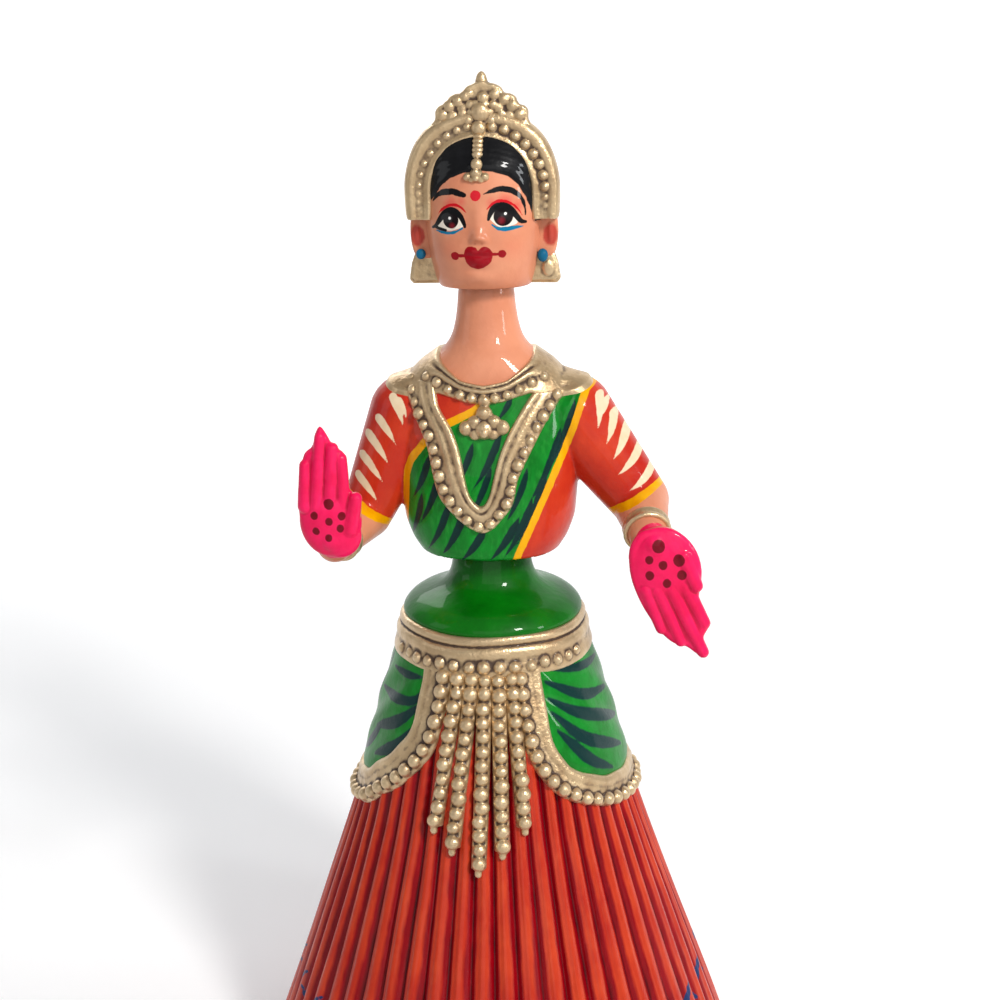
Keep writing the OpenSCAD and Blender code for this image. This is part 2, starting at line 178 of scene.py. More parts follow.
def markHollows(thing, rounds=7):
    # how far each point lies below the ground around it
    points, normals = pointsOf(thing), normalsOf(thing)
    pairs = np.zeros(len(thing.data.edges) * 2, np.int32)
    thing.data.edges.foreach_get("vertices", pairs)
    pairs = pairs.reshape(-1, 2)
    mean = points
    for _ in range(rounds):
        mean = neighbourMean(mean, pairs, len(points))
    paintLayer(thing, "hollow", ((mean - points) * normals).sum(1))
    return thing


def rowTable(rows, blur):
    # a table of sections, rounded over a height of blur
    rows, step = np.array(rows, float), 0.25
    z = np.arange(rows[0, 0] - blur, rows[-1, 0] + blur, step)
    half = int(blur / step)
    kernel = np.hanning(2 * half + 3)[1:-1]
    kernel /= kernel.sum()
    padded = [np.pad(np.interp(z, rows[:, 0], rows[:, c]), half, mode="edge")
              for c in range(1, rows.shape[1])]
    return z, [np.convolve(column, kernel, "valid") for column in padded]


def sectionRadius(table, phi, z):
    # half width, half depth in front, half depth behind and squareness, as a radius at an angle
    half, front, back, power = (np.interp(z, table[0], column) for column in table[1])
    depth = np.where(np.cos(phi) > 0, front, back)
    return (np.abs(np.sin(phi) / half) ** power + np.abs(np.cos(phi) / depth) ** power) ** (-1 / power)


def polar(phi, r, z):
    phi, r, z = np.broadcast_arrays(phi, r, z)
    return np.stack([r * np.sin(phi), -r * np.cos(phi), z], -1)


def curveThrough(path, count):
    # a smooth line through its points, evenly spaced
    path = np.asarray(path, float)
    t = np.arange(len(path))
    fine = np.linspace(0, len(path) - 1, 40 * len(path))
    i = np.clip(fine.astype(int), 0, len(path) - 2)
    u = (fine - i)[:, None]
    p = np.vstack([2 * path[0] - path[1], path, 2 * path[-1] - path[-2]])
    a, b, c, d = p[i], p[i + 1], p[i + 2], p[i + 3]
    line = 0.5 * (2 * b + (c - a) * u + (2 * a - 5 * b + 4 * c - d) * u ** 2
                  + (3 * b - a - 3 * c + d) * u ** 3)
    walked = np.concatenate([[0], np.cumsum(np.linalg.norm(np.diff(line, axis=0), axis=1))])
    spots = np.linspace(0, walked[-1], count)
    return np.stack([np.interp(spots, walked, line[:, k]) for k in range(path.shape[1])], 1)


# Paint patterns are signed distances in millimetres, negative inside

def brushDistance(flat, path, halfWidths):
    # distance to a brush stroke whose half width changes along it
    path = np.asarray(path, float)
    widths = np.broadcast_to(halfWidths, len(path)).astype(float)
    best = np.full(len(flat), 1e3)
    for a, b, wa, wb in zip(path[:-1], path[1:], widths[:-1], widths[1:]):
        d = b - a
        t = np.clip(((flat - a) @ d) / max(d @ d, 1e-9), 0, 1)
        best = np.minimum(best, np.linalg.norm(flat - a - t[:, None] * d, axis=1) - wa - (wb - wa) * t)
    return best


def leafDistance(flat, a, b, width, bow=0.0, thickAt=0.45):
    # a stroke with two points, thickest part way along
    a, b = np.asarray(a, float), np.asarray(b, float)
    t = np.linspace(0, 1, 9)
    across = np.array([-(b - a)[1], (b - a)[0]])
    path = a + (b - a) * t[:, None] + across * (bow * 4 * t * (1 - t))[:, None]
    shape = np.where(t < thickAt, t / thickAt, (1 - t) / (1 - thickAt))
    return brushDistance(flat, path, width * np.sin(shape * math.pi / 2) - 0.04)


def outlineDistance(flat, outline):
    outline = np.asarray(outline, float)
    best, inside = np.full(len(flat), 1e3), np.zeros(len(flat), bool)
    for a, b in zip(outline, np.roll(outline, -1, axis=0)):
        d = b - a
        t = np.clip(((flat - a) @ d) / max(d @ d, 1e-9), 0, 1)
        best = np.minimum(best, np.linalg.norm(flat - a - t[:, None] * d, axis=1))
        crosses = (a[1] > flat[:, 1]) != (b[1] > flat[:, 1])
        with np.errstate(divide="ignore", invalid="ignore"):
            x = a[0] + (flat[:, 1] - a[1]) * d[0] / (d[1] if d[1] else 1e-9)
        inside ^= crosses & (flat[:, 0] < x)
    return np.where(inside, -best, best)


def lowestOf(distances):
    return np.min(np.stack(distances), axis=0)


# Materials

def tint(r, g, b):
    # a colour as it is seen, 0 to 255
    return tuple(c / 12.92 if c <= 0.04045 else ((c + 0.055) / 1.055) ** 2.4
                 for c in (r / 255, g / 255, b / 255)) + (1.0,)


class Flow:
    # a socket that can stand in sums
    def __init__(self, finish, socket):
        self.finish, self.socket = finish, socket

    def join(self, operation, first, second=0.0, clamp=False):
        return self.finish.node("ShaderNodeMath", {"operation": operation, "use_clamp": clamp},
                                {0: first, 1: second})

    def __add__(self, other): return self.join("ADD", self, other)
    def __radd__(self, other): return self.join("ADD", other, self)
    def __sub__(self, other): return self.join("SUBTRACT", self, other)
    def __rsub__(self, other): return self.join("SUBTRACT", other, self)
    def __mul__(self, other): return self.join("MULTIPLY", self, other)
    def __rmul__(self, other): return self.join("MULTIPLY", other, self)
    def __truediv__(self, other): return self.join("DIVIDE", self, other)
    def clamped(self): return self.join("ADD", self, 0.0, clamp=True)


class Finish:
    # one material, with the nodes that its colour, gloss and bump are made of
    def __init__(self, name):
        self.material = bpy.data.materials.new(name)
        self.material.use_nodes = True
        self.tree = self.material.node_tree
        self.shader = self.tree.nodes["Principled BSDF"]
        self.place = self.node("ShaderNodeTexCoord", out="Object")

    def node(self, kind, settings=None, sockets=None, out=0):
        made = self.tree.nodes.new(kind)
        for key, value in (settings or {}).items():
            setattr(made, key, value)
        for key, value in (sockets or {}).items():
            self.plug(made.inputs[key], value)
        return Flow(self, made.outputs[out])

    def plug(self, socket, value):
        if isinstance(value, Flow):
            self.tree.links.new(value.socket, socket)
        else:
            socket.default_value = value

    def layer(self, key):
        return self.node("ShaderNodeAttribute", {"attribute_name": key}, out="Fac")

    def noise(self, size, detail=3.0, stretch=None, rough=0.55):
        # size is the width of a patch in millimetres
        place = self.place
        if stretch:
            place = self.node("ShaderNodeMapping", {}, {"Vector": place, "Scale": stretch})
        return self.node("ShaderNodeTexNoise", {}, {"Vector": place, "Scale": 1000.0 / size,
                                                    "Detail": detail, "Roughness": rough})

    def spread(self, noise, low, high):
        return self.node("ShaderNodeMapRange", {}, {"Value": noise, "From Min": 0.3, "From Max": 0.7,
                                                    "To Min": low, "To Max": high})

    def mix(self, mask, under, over):
        return self.node("ShaderNodeMix", {"data_type": "RGBA"}, {0: mask, 6: under, 7: over}, out=2)

    def inside(self, key, soft=0.12, wobble=None, grow=0.0):
        # 1 inside a painted outline, 0 outside it
        distance = self.layer(key) - grow
        if wobble is not None:
            distance = distance + (wobble - 0.5) * 0.5
        return (0.5 - distance / soft).clamped()

    def dress(self, colour, rough, height, metallic=0.0, coat=0.0, coatRough=0.04, bump=0.0003, shine=0.5):
        self.plug(self.shader.inputs["Base Color"], colour)
        self.plug(self.shader.inputs["Roughness"], rough)
        self.plug(self.shader.inputs["Metallic"], metallic)
        self.plug(self.shader.inputs["Coat Weight"], coat)
        self.shader.inputs["Coat Roughness"].default_value = coatRough
        self.shader.inputs["Specular IOR Level"].default_value = shine
        normal = self.node("ShaderNodeBump", {}, {"Strength": 1.0, "Distance": bump, "Height": height})
        self.plug(self.shader.inputs["Normal"], normal)
        return self.material

    def varnish(self, colour, coat=0.3, rough=0.4, bump=0.0004, press=0.0):
        # thick clear varnish brushed over hand paint
        lumps = self.noise(9, 2.0) * 0.62 + self.noise(2.6, 2.0) * 0.38
        grit = self.noise(0.7, 2.0)
        worn = self.spread(self.noise(14, 4.0), -0.05, 0.09)
        return self.dress(colour, worn + rough, lumps + grit * 0.05 + press, coat=coat, bump=bump, shine=0.09)


def goldPaint(name, light=(212, 184, 142), mid=(160, 128, 90), dark=(50, 24, 10)):
    f = Finish(name)
    patch = f.noise(7, 4.0)
    # painted shade: the hollows are darkened towards dark brown, and the same mask makes them rougher and
    # less metallic
    shadedRecess = (f.layer("hollow") * 11.0 + (f.noise(2.2, 3.0) - 0.5) * 1.9 - 0.05).clamped()
    # painted highlight: raised points are lightened towards pale gold
    raisedHighlight = (f.layer("hollow") * -6.0).clamped()
    colour = f.mix(f.spread(patch, 0.0, 0.75), tint(*light), tint(*mid))
    colour = f.mix(raisedHighlight * 0.5, colour, tint(230, 206, 166))
    colour = f.mix(shadedRecess * 0.95, colour, tint(*dark))
    rough = f.spread(f.noise(3.5, 4.0), 0.3, 0.46) + shadedRecess * 0.25
    height = f.noise(3.2, 3.0) * 0.8 + f.noise(0.8, 2.0) * 0.2
    return f.dress(colour, rough, height, metallic=0.72 - shadedRecess * 0.5, coat=0.2, bump=0.0004)


def plainEnamel(name, base, shade, streak=None):
    f = Finish(name)
    colour = f.mix(f.spread(f.noise(11, 4.0), 0.0, 1.0), tint(*base), tint(*shade))
    worn = (f.noise(1.6, 5.0) - 0.68) * 6
    colour = f.mix(worn.clamped() * 0.35, colour, tint(*(streak or shade)))
    return f.varnish(colour)


gold = goldPaint("goldPaint")
blueEnamel = plainEnamel("blueEnamel", (10, 112, 150), (6, 86, 120))


def finishPiece(piece, material, body, slot, *nodes):
    piece.data.materials.clear()
    piece.data.materials.append(material)
    if nodes:
        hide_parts(*nodes)
    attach(piece, body)
    return piece


# Camera, floor and light

view = {"target": (2.9, 0.25, 191.4), "distance": 500, "azimuth": 5.0, "elevation": 16.0,
        "lens": 58.07, "lean": -1.1}


def setCamera():
    a, e = math.radians(view["azimuth"]), math.radians(view["elevation"])
    back = Vector((math.sin(a) * math.cos(e), -math.cos(a) * math.cos(e), math.sin(e)))
    data = bpy.data.cameras.new("camera")
    data.lens, data.sensor_width = view["lens"], 36.0
    data.clip_start, data.clip_end = 0.05, 20
    camera = bpy.data.objects.new("camera", data)
    bpy.context.scene.collection.objects.link(camera)
    camera.location = (Vector(view["target"]) + back * view["distance"]) * mm
    turn = (-back).to_track_quat("-Z", "Y").to_matrix().to_4x4()
    turn = turn @ Matrix.Rotation(math.radians(view["lean"]), 4, "Z")
    camera.rotation_euler = turn.to_euler()
    bpy.context.scene.camera = camera


lamps = [  # name, place and size in metres, power in watts, colour
    ("keyWindow", (0.7, -0.8, 0.95), (0.2, 0.27), 12.5, (1.0, 0.98, 0.95)),
    ("frontSoft", (0.1, -1.3, 0.55), (1.3, 0.9), 3.0, (1.0, 1.0, 1.0)),
    ("sideWindow", (1.15, -0.45, 0.5), (0.16, 0.36), 3.4, (0.95, 0.98, 1.0)),
    ("leftFill", (-1.1, -0.35, 0.6), (0.5, 0.7), 1.2, (0.96, 0.98, 1.0)),
    ("backRim", (-0.5, 1.0, 0.9), (0.6, 0.6), 3.0, (1.0, 1.0, 1.0))]


def setLights():
    for name, place, size, power, colour in lamps:
        data = bpy.data.lights.new(name, "AREA")
        data.shape, data.size, data.size_y = "RECTANGLE", size[0], size[1]
        data.energy, data.color = power, colour
        lamp = bpy.data.objects.new(name, data)
        bpy.context.scene.collection.objects.link(lamp)
        lamp.location = place
        aim = Vector((0, 0, 0.2)) - Vector(place)
        lamp.rotation_euler = aim.to_track_quat("-Z", "Y").to_euler()
    world = bpy.data.worlds.new("studio")
    world.use_nodes = True
    world.node_tree.nodes["Background"].inputs["Color"].default_value = (0.93, 0.95, 1.0, 1)
    world.node_tree.nodes["Background"].inputs["Strength"].default_value = 0.3
    bpy.context.scene.world = world
    bpy.context.scene.view_settings.view_transform = "Standard"


def setFloor():
    # a pale sheet that runs back and curves up
    line = [(-4000, 0), (1500, 0)]
    line += [(1500 + 1500 * math.sin(q), 1500 - 1500 * math.cos(q))
             for q in np.linspace(0.08, math.pi / 2, 24)]
    line += [(3000, 4500)]
    points = [[(x, y, z) for x in (-5000, 5000)] for y, z in line]
    floor = makeObject("floor", np.array(points), gridQuads(len(line), 2))
    f = Finish("paleFloor")
    colour = f.mix(f.noise(120, 3.0), tint(250, 250, 250), tint(246, 246, 246))
    far = f.node("ShaderNodeSeparateXYZ", {}, {"Vector": f.place}, out="Y")
    colour = f.mix((0.2 - far * 4.0).clamped(), colour, tint(182, 182, 184))
    # the floor glows: its emission stands in for light, dimmer near the front and brighter further back
    f.plug(f.shader.inputs["Emission Color"],
           f.mix(((far - 0.35) * 0.8).clamped(), tint(102, 102, 102), tint(216, 216, 216)))
    f.plug(f.shader.inputs["Emission Strength"], 1.0)
    floor.data.materials.append(f.dress(colour, 0.9 - f.noise(40) * 0.1, f.noise(5), bump=0.00002, shine=0.1))


setCamera()
setLights()
setFloor()
print("camera, floor and lights are set")


# Skirt

skirt = {"rows": [[0, 78.5], [16, 73], [32, 67.3], [48, 61.6], [64, 56], [80, 50.4], [96, 45],
                  [112, 40.7], [128, 35.9], [144, 30.6], [158, 26.6]],
         "pleats": 50, "columns": 800, "rings": 84, "top": 147.0, "wall": 2.2,
         "strokePitch": 14.4, "strokeStep": 1.1}  # degrees between hem strokes, millimetres to a degree there
skirtTable = rowTable(skirt["rows"], 5)


def skirtRadius(z):
    return np.interp(z, skirtTable[0], skirtTable[1][0])


def onSkirt(phi, z):
    # points and outward normals of the smooth cone, with the angle in degrees from the front
    phi = np.radians(np.asarray(phi, float))
    z = np.asarray(z, float)
    r = skirtRadius(z)
    slope = (skirtRadius(z + 1) - skirtRadius(z - 1)) / 2
    phi, z, r, slope = np.broadcast_arrays(phi, z, r, slope)
    normal = np.stack([np.sin(phi), -np.cos(phi), -slope], -1)
    return polar(phi, r, z), normal / np.linalg.norm(normal, axis=-1, keepdims=True)


def stripOnSkirt(pile, profile, places, closed=False):
    # a raised strip on the cone: places turns a step of the profile into angles and heights
    points, out = zip(*(onSkirt(*places(step)) for step, _ in profile))
    heights = np.array([lift for _, lift in profile])[None, :]
    pile.relief(np.stack(points, 1), np.stack(out, 1), heights, closed)


def makeSkirt():
    n, cols, rings = skirt["pleats"], skirt["columns"], skirt["rings"]
    z = np.linspace(0, skirt["top"], rings)[:, None]
    phi = np.arange(cols)[None, :] * 2 * math.pi / cols
    turn = phi * n / (2 * math.pi)
    pleat = np.round(turn).astype(int) % n
    dice.uniform(-0.1, 0.1, n)  # spare draws, which keep the later ones the same
    deep = dice.uniform(0.82, 1.2, n)
    sway = 0.05 * np.sin(z / 17 + pleat * 2.4)
    u = turn - np.round(turn)
    bent = np.clip(np.abs(2 * (u + (0.06 + sway) * (1 - 4 * u * u))), 0, 1)
    groove = bent ** 2.1
    crease = 0.16 * np.exp(-((u + 0.2) / 0.06) ** 2)       # a faint line pressed beside each ridge
    depth = np.interp(z, [0, 60, 110, 136, 147], [2.6, 2.4, 2.05, 1.5, 0.5]) * deep[pleat]
    outer = skirtRadius(z) - depth * (groove + crease) + 0.12 * np.sin(phi * 7 + z / 13)
    inner = skirtRadius(z) - 2.3 - skirt["wall"] + 0 * phi
    keep = np.linspace(0, rings - 1, 9).astype(int)[::-1]
    points = np.concatenate([polar(phi, outer, z), polar(phi, inner[keep], z[keep])])
    order = np.concatenate([points[-1:], points[:rings], points[rings:]])      # closes the hem
    marks = np.concatenate([groove[:1] * 0, groove, groove[keep] * 0])
    heights = np.concatenate([z[keep][-1:], z, z[keep]]) + 0 * phi
    angle = np.degrees(phi) + 0 * heights
    pitch = skirt["strokePitch"]
    across = (angle - np.round(angle / pitch) * pitch).ravel() * skirt["strokeStep"]
    flat = np.stack([across, heights.ravel()], 1)
    hem = lowestOf([leafDistance(flat, (-4.5, 27), (3.5, 38.5), 1.1, 0.12),
                    leafDistance(flat, (5.5, 26), (-1.5, 33), 0.9, -0.15)])
    return makeObject("pleatedSkirt", order, gridQuads(len(order), cols, True),
                      {"groove": marks, "height": heights, "hemStroke": hem})


def skirtPaint():
    f = Finish("skirtPaint")
    streak = f.noise(3.2, 4.0, stretch=(1.0, 1.0, 0.12))
    groove = f.layer("groove") + (streak - 0.5) * 0.5
    ridge = f.mix(f.spread(f.noise(16, 3.0), 0.0, 1.0), tint(198, 62, 30), tint(176, 38, 22))
    ridge = f.mix(((streak - 0.5) * 4).clamped() * 0.5, ridge, tint(206, 78, 42))
    red = f.mix(streak, tint(160, 0, 18), tint(112, 0, 8))
    colour = f.mix(((groove - 0.17) * 3.8).clamped(), ridge, red)
    # painted shade: the bottoms of the grooves are darkened to near black red
    colour = f.mix(((groove - 0.74) * 4).clamped() * 0.85, colour, tint(70, 0, 5))
    colour = f.mix(f.inside("hemStroke", 0.2, f.noise(2.0)), colour, tint(28, 48, 96))
    edge = (3.0 - f.layer("height") + (f.noise(3.0) - 0.5) * 1.5).clamped()
    colour = f.mix(edge, colour, tint(120, 10, 16))
    return f.varnish(colour, rough=0.36, bump=0.00045)


pleatedSkirt = makeSkirt()
finishPiece(pleatedSkirt, skirtPaint(), "base", "skirt_paint", "skirt_front", "skirt_back")
print("skirt made")

# Dome and stem of the waist

dome = {"profile": [(22, 156.1), (27, 156.1), (27.9, 156.6), (28.2, 157.4), (27.9, 158.5), (27, 159.8),
                    (25.8, 161),
                    (23.6, 162.4), (20.4, 163.7), (17.2, 165), (15, 166.5), (13.6, 168.4), (12.8, 170.6),
                    (12.3, 173), (11.5, 175.5), (10.6, 178), (10.2, 180.5), (10.1, 183), (9.5, 184),
                    (8, 184.2), (7.1, 183.8), (7.05, 180)], "columns": 144}


def makeDome():
    line = curveThrough(dome["profile"], 90)
    phi = np.arange(dome["columns"])[None, :] * 2 * math.pi / dome["columns"]
    wave = 1 + 0.006 * np.sin(2 * phi + 0.7) + 0.004 * np.sin(3 * phi + line[:, 1:] / 6)
    inside = np.clip((line[:, :1] - 7.2) / 2, 0, 1)
    r = line[:, :1] * (1 + (wave - 1) * inside)
    return makeObject("greenDome", polar(phi, r, line[:, 1:] + 0 * phi),
                      gridQuads(len(line), dome["columns"], True))


greenEnamel = plainEnamel("greenEnamel", (6, 112, 12), (2, 88, 6), (22, 132, 26))
finishPiece(makeDome(), greenEnamel, "base", "green_paint", "waist_dome")

# Belt

belt = {"profile": [(143.9, -0.2), (144.7, 1.0), (145.8, 1.3), (147.4, 1.3), (149.0, 1.35), (149.8, 1.5),
                    (150.6, 1.8),
                    (151.8, 1.95), (152.8, 1.7), (153.3, 1.0), (153.7, 1.0), (154.2, 1.7), (155.2, 1.9),
                    (156.0, 1.7),
                    (156.5, 1.1), (156.7, 0.3)],
        "beads": 41, "beadHeight": 147.6, "beadSize": 2.1, "beadReach": 64}


def makeBelt():
    pile = Pile()
    phi = np.linspace(0, 360, 300, endpoint=False)
    stripOnSkirt(pile, belt["profile"], lambda z: (phi, z + 0.25 * np.sin(np.radians(phi * 5))), closed=True)
    for k in range(belt["beads"]):
        at = 360 / belt["beads"] * (k - belt["beads"] // 2)
        if abs(at) > belt["beadReach"]:
            continue
        spot, out = onSkirt(at + dice.uniform(-0.6, 0.6), belt["beadHeight"] + dice.uniform(-0.3, 0.3))
        size = belt["beadSize"] * dice.uniform(0.88, 1.06) * (1.0 - 0.25 * abs(at) / belt["beadReach"])
        pile.ball(spot + out * 0.85, size)
    return pile.cast("goldBelt", 0.36, 3)


finishPiece(makeBelt(), gold, "base", "gold_paint", "waist_belt")
print("dome and belt made")

# Drapes over the hips

drape = {
    "right": [(31, 147), (31, 135), (32.4, 128), (36, 122), (41.6, 117.3), (48, 113), (55.4, 109),
              (66, 103.6), (78, 101.2),
              (90, 100.4), (104, 100.5), (118, 102), (130, 105), (140, 110), (147, 118), (151, 128),
              (153, 147)],
    "left": [(25.2, 147), (25.4, 133), (28, 122), (33.5, 114.8), (40, 111), (48, 107.8), (61, 104.6),
             (76, 102.8), (90, 102),
             (104, 101.5), (118, 102.4), (130, 105), (140, 110), (147, 118), (151, 128), (153, 147)],
    "profile": [(-4.4, -0.1), (-4.0, 0.8), (-3.2, 1.25), (-2.2, 1.35), (-1.2, 1.15), (-0.8, 1.05),
                (-0.2, 1.15), (0.6, 1.1),
                (1.4, 0.95), (2.4, 0.9), (3.4, 0.85), (4.3, 0.7), (4.9, -0.1)],
    "spread": {"right": 1.3, "left": 1.0}, "beadPitch": 4.3, "beadSize": 2.25, "beadAt": 2.9,
    "beadTop": 144.5, "top": 147}


def skirtStep(z):
    return skirtRadius(z) * math.pi / 180


def pathFrames(path):
    # the direction across a path on the cone, towards the field
    flat = np.stack([path[:, 0] * skirtStep(path[:, 1]), path[:, 1]], 1)
    way = np.gradient(flat, axis=0)
    way /= np.linalg.norm(way, axis=1, keepdims=True)
    return np.stack([way[:, 1] / skirtStep(path[:, 1]), -way[:, 0]], 1) * -1


def makeBorder(word, side):
    # a smooth band on the inner side and a row of beads on the outer side
    pile = Pile()
    path = curveThrough(drape[word], 210)
    across, spread = -pathFrames(path), drape["spread"][word]

    def places(u):
        u = (u * spread if u > 0 else u) + 0.2 * np.sin(np.arange(len(path)) * 0.3)
        at = path + across * u[:, None]
        return side * at[:, 0], np.minimum(at[:, 1], drape["top"])

    stripOnSkirt(pile, drape["profile"], places)
    line = path + across * drape["beadAt"] * spread
    line = line[line[:, 1] < drape["beadTop"]]
    spots, out = onSkirt(side * line[:, 0], line[:, 1])
    pile.beads(spots, out, drape["beadPitch"], drape["beadSize"], (0.9, 1.08), 0.85)
    return pile.cast(word + "DrapeBorder", 0.36, 3)


def makeField(word, side):
    # the green cloth inside the border, with soft folds
    path = curveThrough(drape[word], 120)
    path = path + pathFrames(path) * 3.0
    top = np.stack([np.linspace(path[0, 0] + 1, 152, len(path)), np.full(len(path), 146.5)], 1)
    share = np.linspace(0, 1, 44)[:, None, None]
    flat = path[None] * (1 - share) + top[None] * share
    a, z = flat[..., 0], np.minimum(flat[..., 1], drape["top"])
    points, out = onSkirt(side * a, z)
    fold = 0.35 * np.sin((a * 0.62 + (z - 100) * 1.1) / 2.6) * np.sin(share[..., 0] * math.pi)
    rim = np.minimum(1, np.minimum(share[..., 0], 1 - share[..., 0]) * 16)
    points = points + out * (1.0 * rim + fold - 0.3)[..., None]
    if side > 0:
        points = points[:, ::-1]
        a, z = a[:, ::-1], z[:, ::-1]
    plane = np.stack([(a * skirtStep(z)).ravel(), z.ravel()], 1)
    strokes = [brushDistance(plane, curveThrough(line, 14), width * np.sin(np.linspace(0.25, 2.9, 14)))
               for width, *line in drapeStrokes[word]]
    return makeObject(word + "DrapeField", points, gridQuads(points.shape[0], points.shape[1]),
                      {"stroke": lowestOf(strokes)})


# Brush strokes on the drapes: half width, then distance round the skirt and height
drapeStrokes = {
    "left": [(1.3, (20, 145), (33, 142.6), (50, 141)), (1.6, (18.2, 142), (33.8, 134.7), (51.6, 131.5)),
             (1.8, (19.5, 137), (33.2, 129.6), (60.9, 120.3)), (1.9, (20.5, 133), (34, 122.4), (57, 113.2)),
             (1.7, (22.5, 127.5), (35.3, 116.1), (47, 110)), (1.3, (56, 143), (66, 131), (84, 122)),
             (1.3, (60, 134), (70, 121), (86, 112)), (1.2, (76, 143), (86, 132), (96, 126))],
    "right": [(1.2, (20, 142.3), (28, 141.2), (37, 141)), (1.6, (19.5, 139), (26, 134.2), (46.5, 132.3)),
              (1.8, (21, 134.5), (30.8, 127.4), (46, 121)), (1.8, (24, 127), (31, 120.3), (44, 113.8)),
              (1.5, (42, 144), (52, 131), (62, 124)), (1.5, (40, 125), (50, 116), (62, 109)),
              (1.3, (60, 143), (70, 130), (86, 121)), (1.3, (66, 124), (76, 114), (88, 108))]}


def drapePaint():
    f = Finish("drapePaint")
    colour = f.mix(f.spread(f.noise(9, 4.0), 0.0, 1.0), tint(8, 132, 34), tint(2, 104, 20))
    colour = f.mix(((f.noise(2.0, 4.0, stretch=(1, 1, 0.3)) - 0.5) * 4).clamped() * 0.35, colour,
                   tint(30, 150, 56))
    colour = f.mix(f.inside("stroke", 0.4, f.noise(2.5)), colour, tint(0, 46, 44))
    return f.varnish(colour, press=f.inside("stroke", 1.8) * -0.9)


fieldPaint = drapePaint()
for side, word in ((-1, "right"), (1, "left")):
    finishPiece(makeField(word, side), fieldPaint, "base", "green_paint", word + "_hip_drape")
    finishPiece(makeBorder(word, side), gold, "base", "gold_paint", word + "_drape_border")
print("drapes made")

# Strings of beads

strings = {"rows": [(-15, -20, 102.5), (-7.5, -12, 97), (0, -1.8, 91.5), (7.5, 7, 96.5), (15, 16, 103)],
           "top": 144.0, "pitch": 4.15, "bead": 2.4,
           "strip": [(-2.4, -0.2), (-2.1, 0.7), (-1.2, 0.95), (0, 1.0), (1.2, 0.95), (2.1, 0.7), (2.4, -0.2)]}


def makeString(k):
    # flattened beads on a raised strip
    fromA, toA, low = strings["rows"][k]
    pile, count = Pile(), int(round((strings["top"] - low) / strings["pitch"]))
    z = np.linspace(146, low - 1.5, 40)
    share = (strings["top"] - z) / (strings["top"] - low)
    stripOnSkirt(pile, strings["strip"], lambda u: (fromA + (toA - fromA) * share + u / skirtStep(z), z))
    for i in range(count + 1):
        t = i / count
        a = fromA + (toA - fromA) * t + dice.uniform(-0.5, 0.5)
        spot, out = onSkirt(a, strings["top"] + (low - strings["top"]) * t + dice.uniform(-0.15, 0.15))
        size = strings["bead"] * dice.uniform(0.84, 1.06) * (1.1 if i == count else 1)
        pile.ball(spot + out * 0.75, (size, size, size * dice.uniform(0.92, 1.04)))
    spot, out = onSkirt(toA, low - 2.8)
    pile.ball(spot + out * 0.8, (1.2, 1.0, 1.4))
    return pile.cast(f"beadString{k + 1}", 0.34, 3)


for k in range(5):
    finishPiece(makeString(k), gold, "base", "gold_paint", f"bead_string_{k + 1}")
print("strings made")

# Torso, arms and neck are one moulded skin, open at the hem

torso = {"rows": [(178, 21.2, 20.2, 18.5, 2.4), (182, 24, 21.4, 19, 2.4), (188, 26.2, 21.8, 19, 2.4),
                  (197, 27, 21.8, 18.5, 2.4), (206, 27.5, 21, 18, 2.4), (214, 27.6, 19.5, 17.5, 2.3),
                  (222, 27.2, 17.5, 16.5, 2.2), (229, 25.6, 15.6, 15.5, 2.1), (234, 21, 14.4, 14.5, 2),
                  (238, 15.5, 13.4, 13.7, 2), (240.5, 12.4, 12.2, 12.4, 2), (243.5, 10.6, 10.6, 10.6, 2),
                  (248, 9.4, 9.4, 9.4, 2), (253, 8.7, 8.7, 8.7, 2), (257.5, 8.4, 8.4, 8.4, 2),
                  (260, 7.7, 7.7, 7.7, 2), (262, 7.5, 7.5, 7.5, 2)],
         "top": 262.0, "hem": 178.0, "wall": 2.0, "bore": 6.25, "voxel": 0.56, "soften": 7}
arms = {"right": [(-24.5, 0, 219.2), (-38.2, -5, 188.6), (-44.3, -26.5, 185.2)],
        "left": [(25.6, 0, 219.2), (46, -4, 193), (48.6, -22, 187)],
        "rightSize": [12.3, 8.0, 5.5], "leftSize": [12.4, 9.0, 5.8]}
torsoTable = rowTable(torso["rows"], 2.5)


def makeTorso():
    pile, phi = Pile(), np.linspace(0, 2 * math.pi, 160, endpoint=False)
    rings = []
    for z in np.concatenate([[torso["hem"]], np.arange(178.6, 262, 1.0), [torso["top"]]]):
        r = sectionRadius(torsoTable, phi, z)
        rings.append(polar(phi, r - (0.7 if z <= torso["hem"] else 0), z))
    for z in [262, 256, 250, 244, 239]:
        rings.append(polar(phi, torso["bore"], z))
    for z in np.linspace(235, torso["hem"] + 0.6, 30):
        share = np.clip((z - 229) / 6, 0, 1)
        r = sectionRadius(torsoTable, phi, min(z, 231)) - torso["wall"]
        rings.append(polar(phi, r * (1 - share) + 9 * share, z))
    pile.rings(rings, closed=True)
    for word in ("right", "left"):
        a, b, c = arms[word]
        ra, rb, rc = arms[word + "Size"]
        pile.limb(a, b, ra, rb)
        pile.limb(b, c, rb, rc)
    return castWhole(pile.made("paintedTorso"), torso["voxel"], torso["soften"])


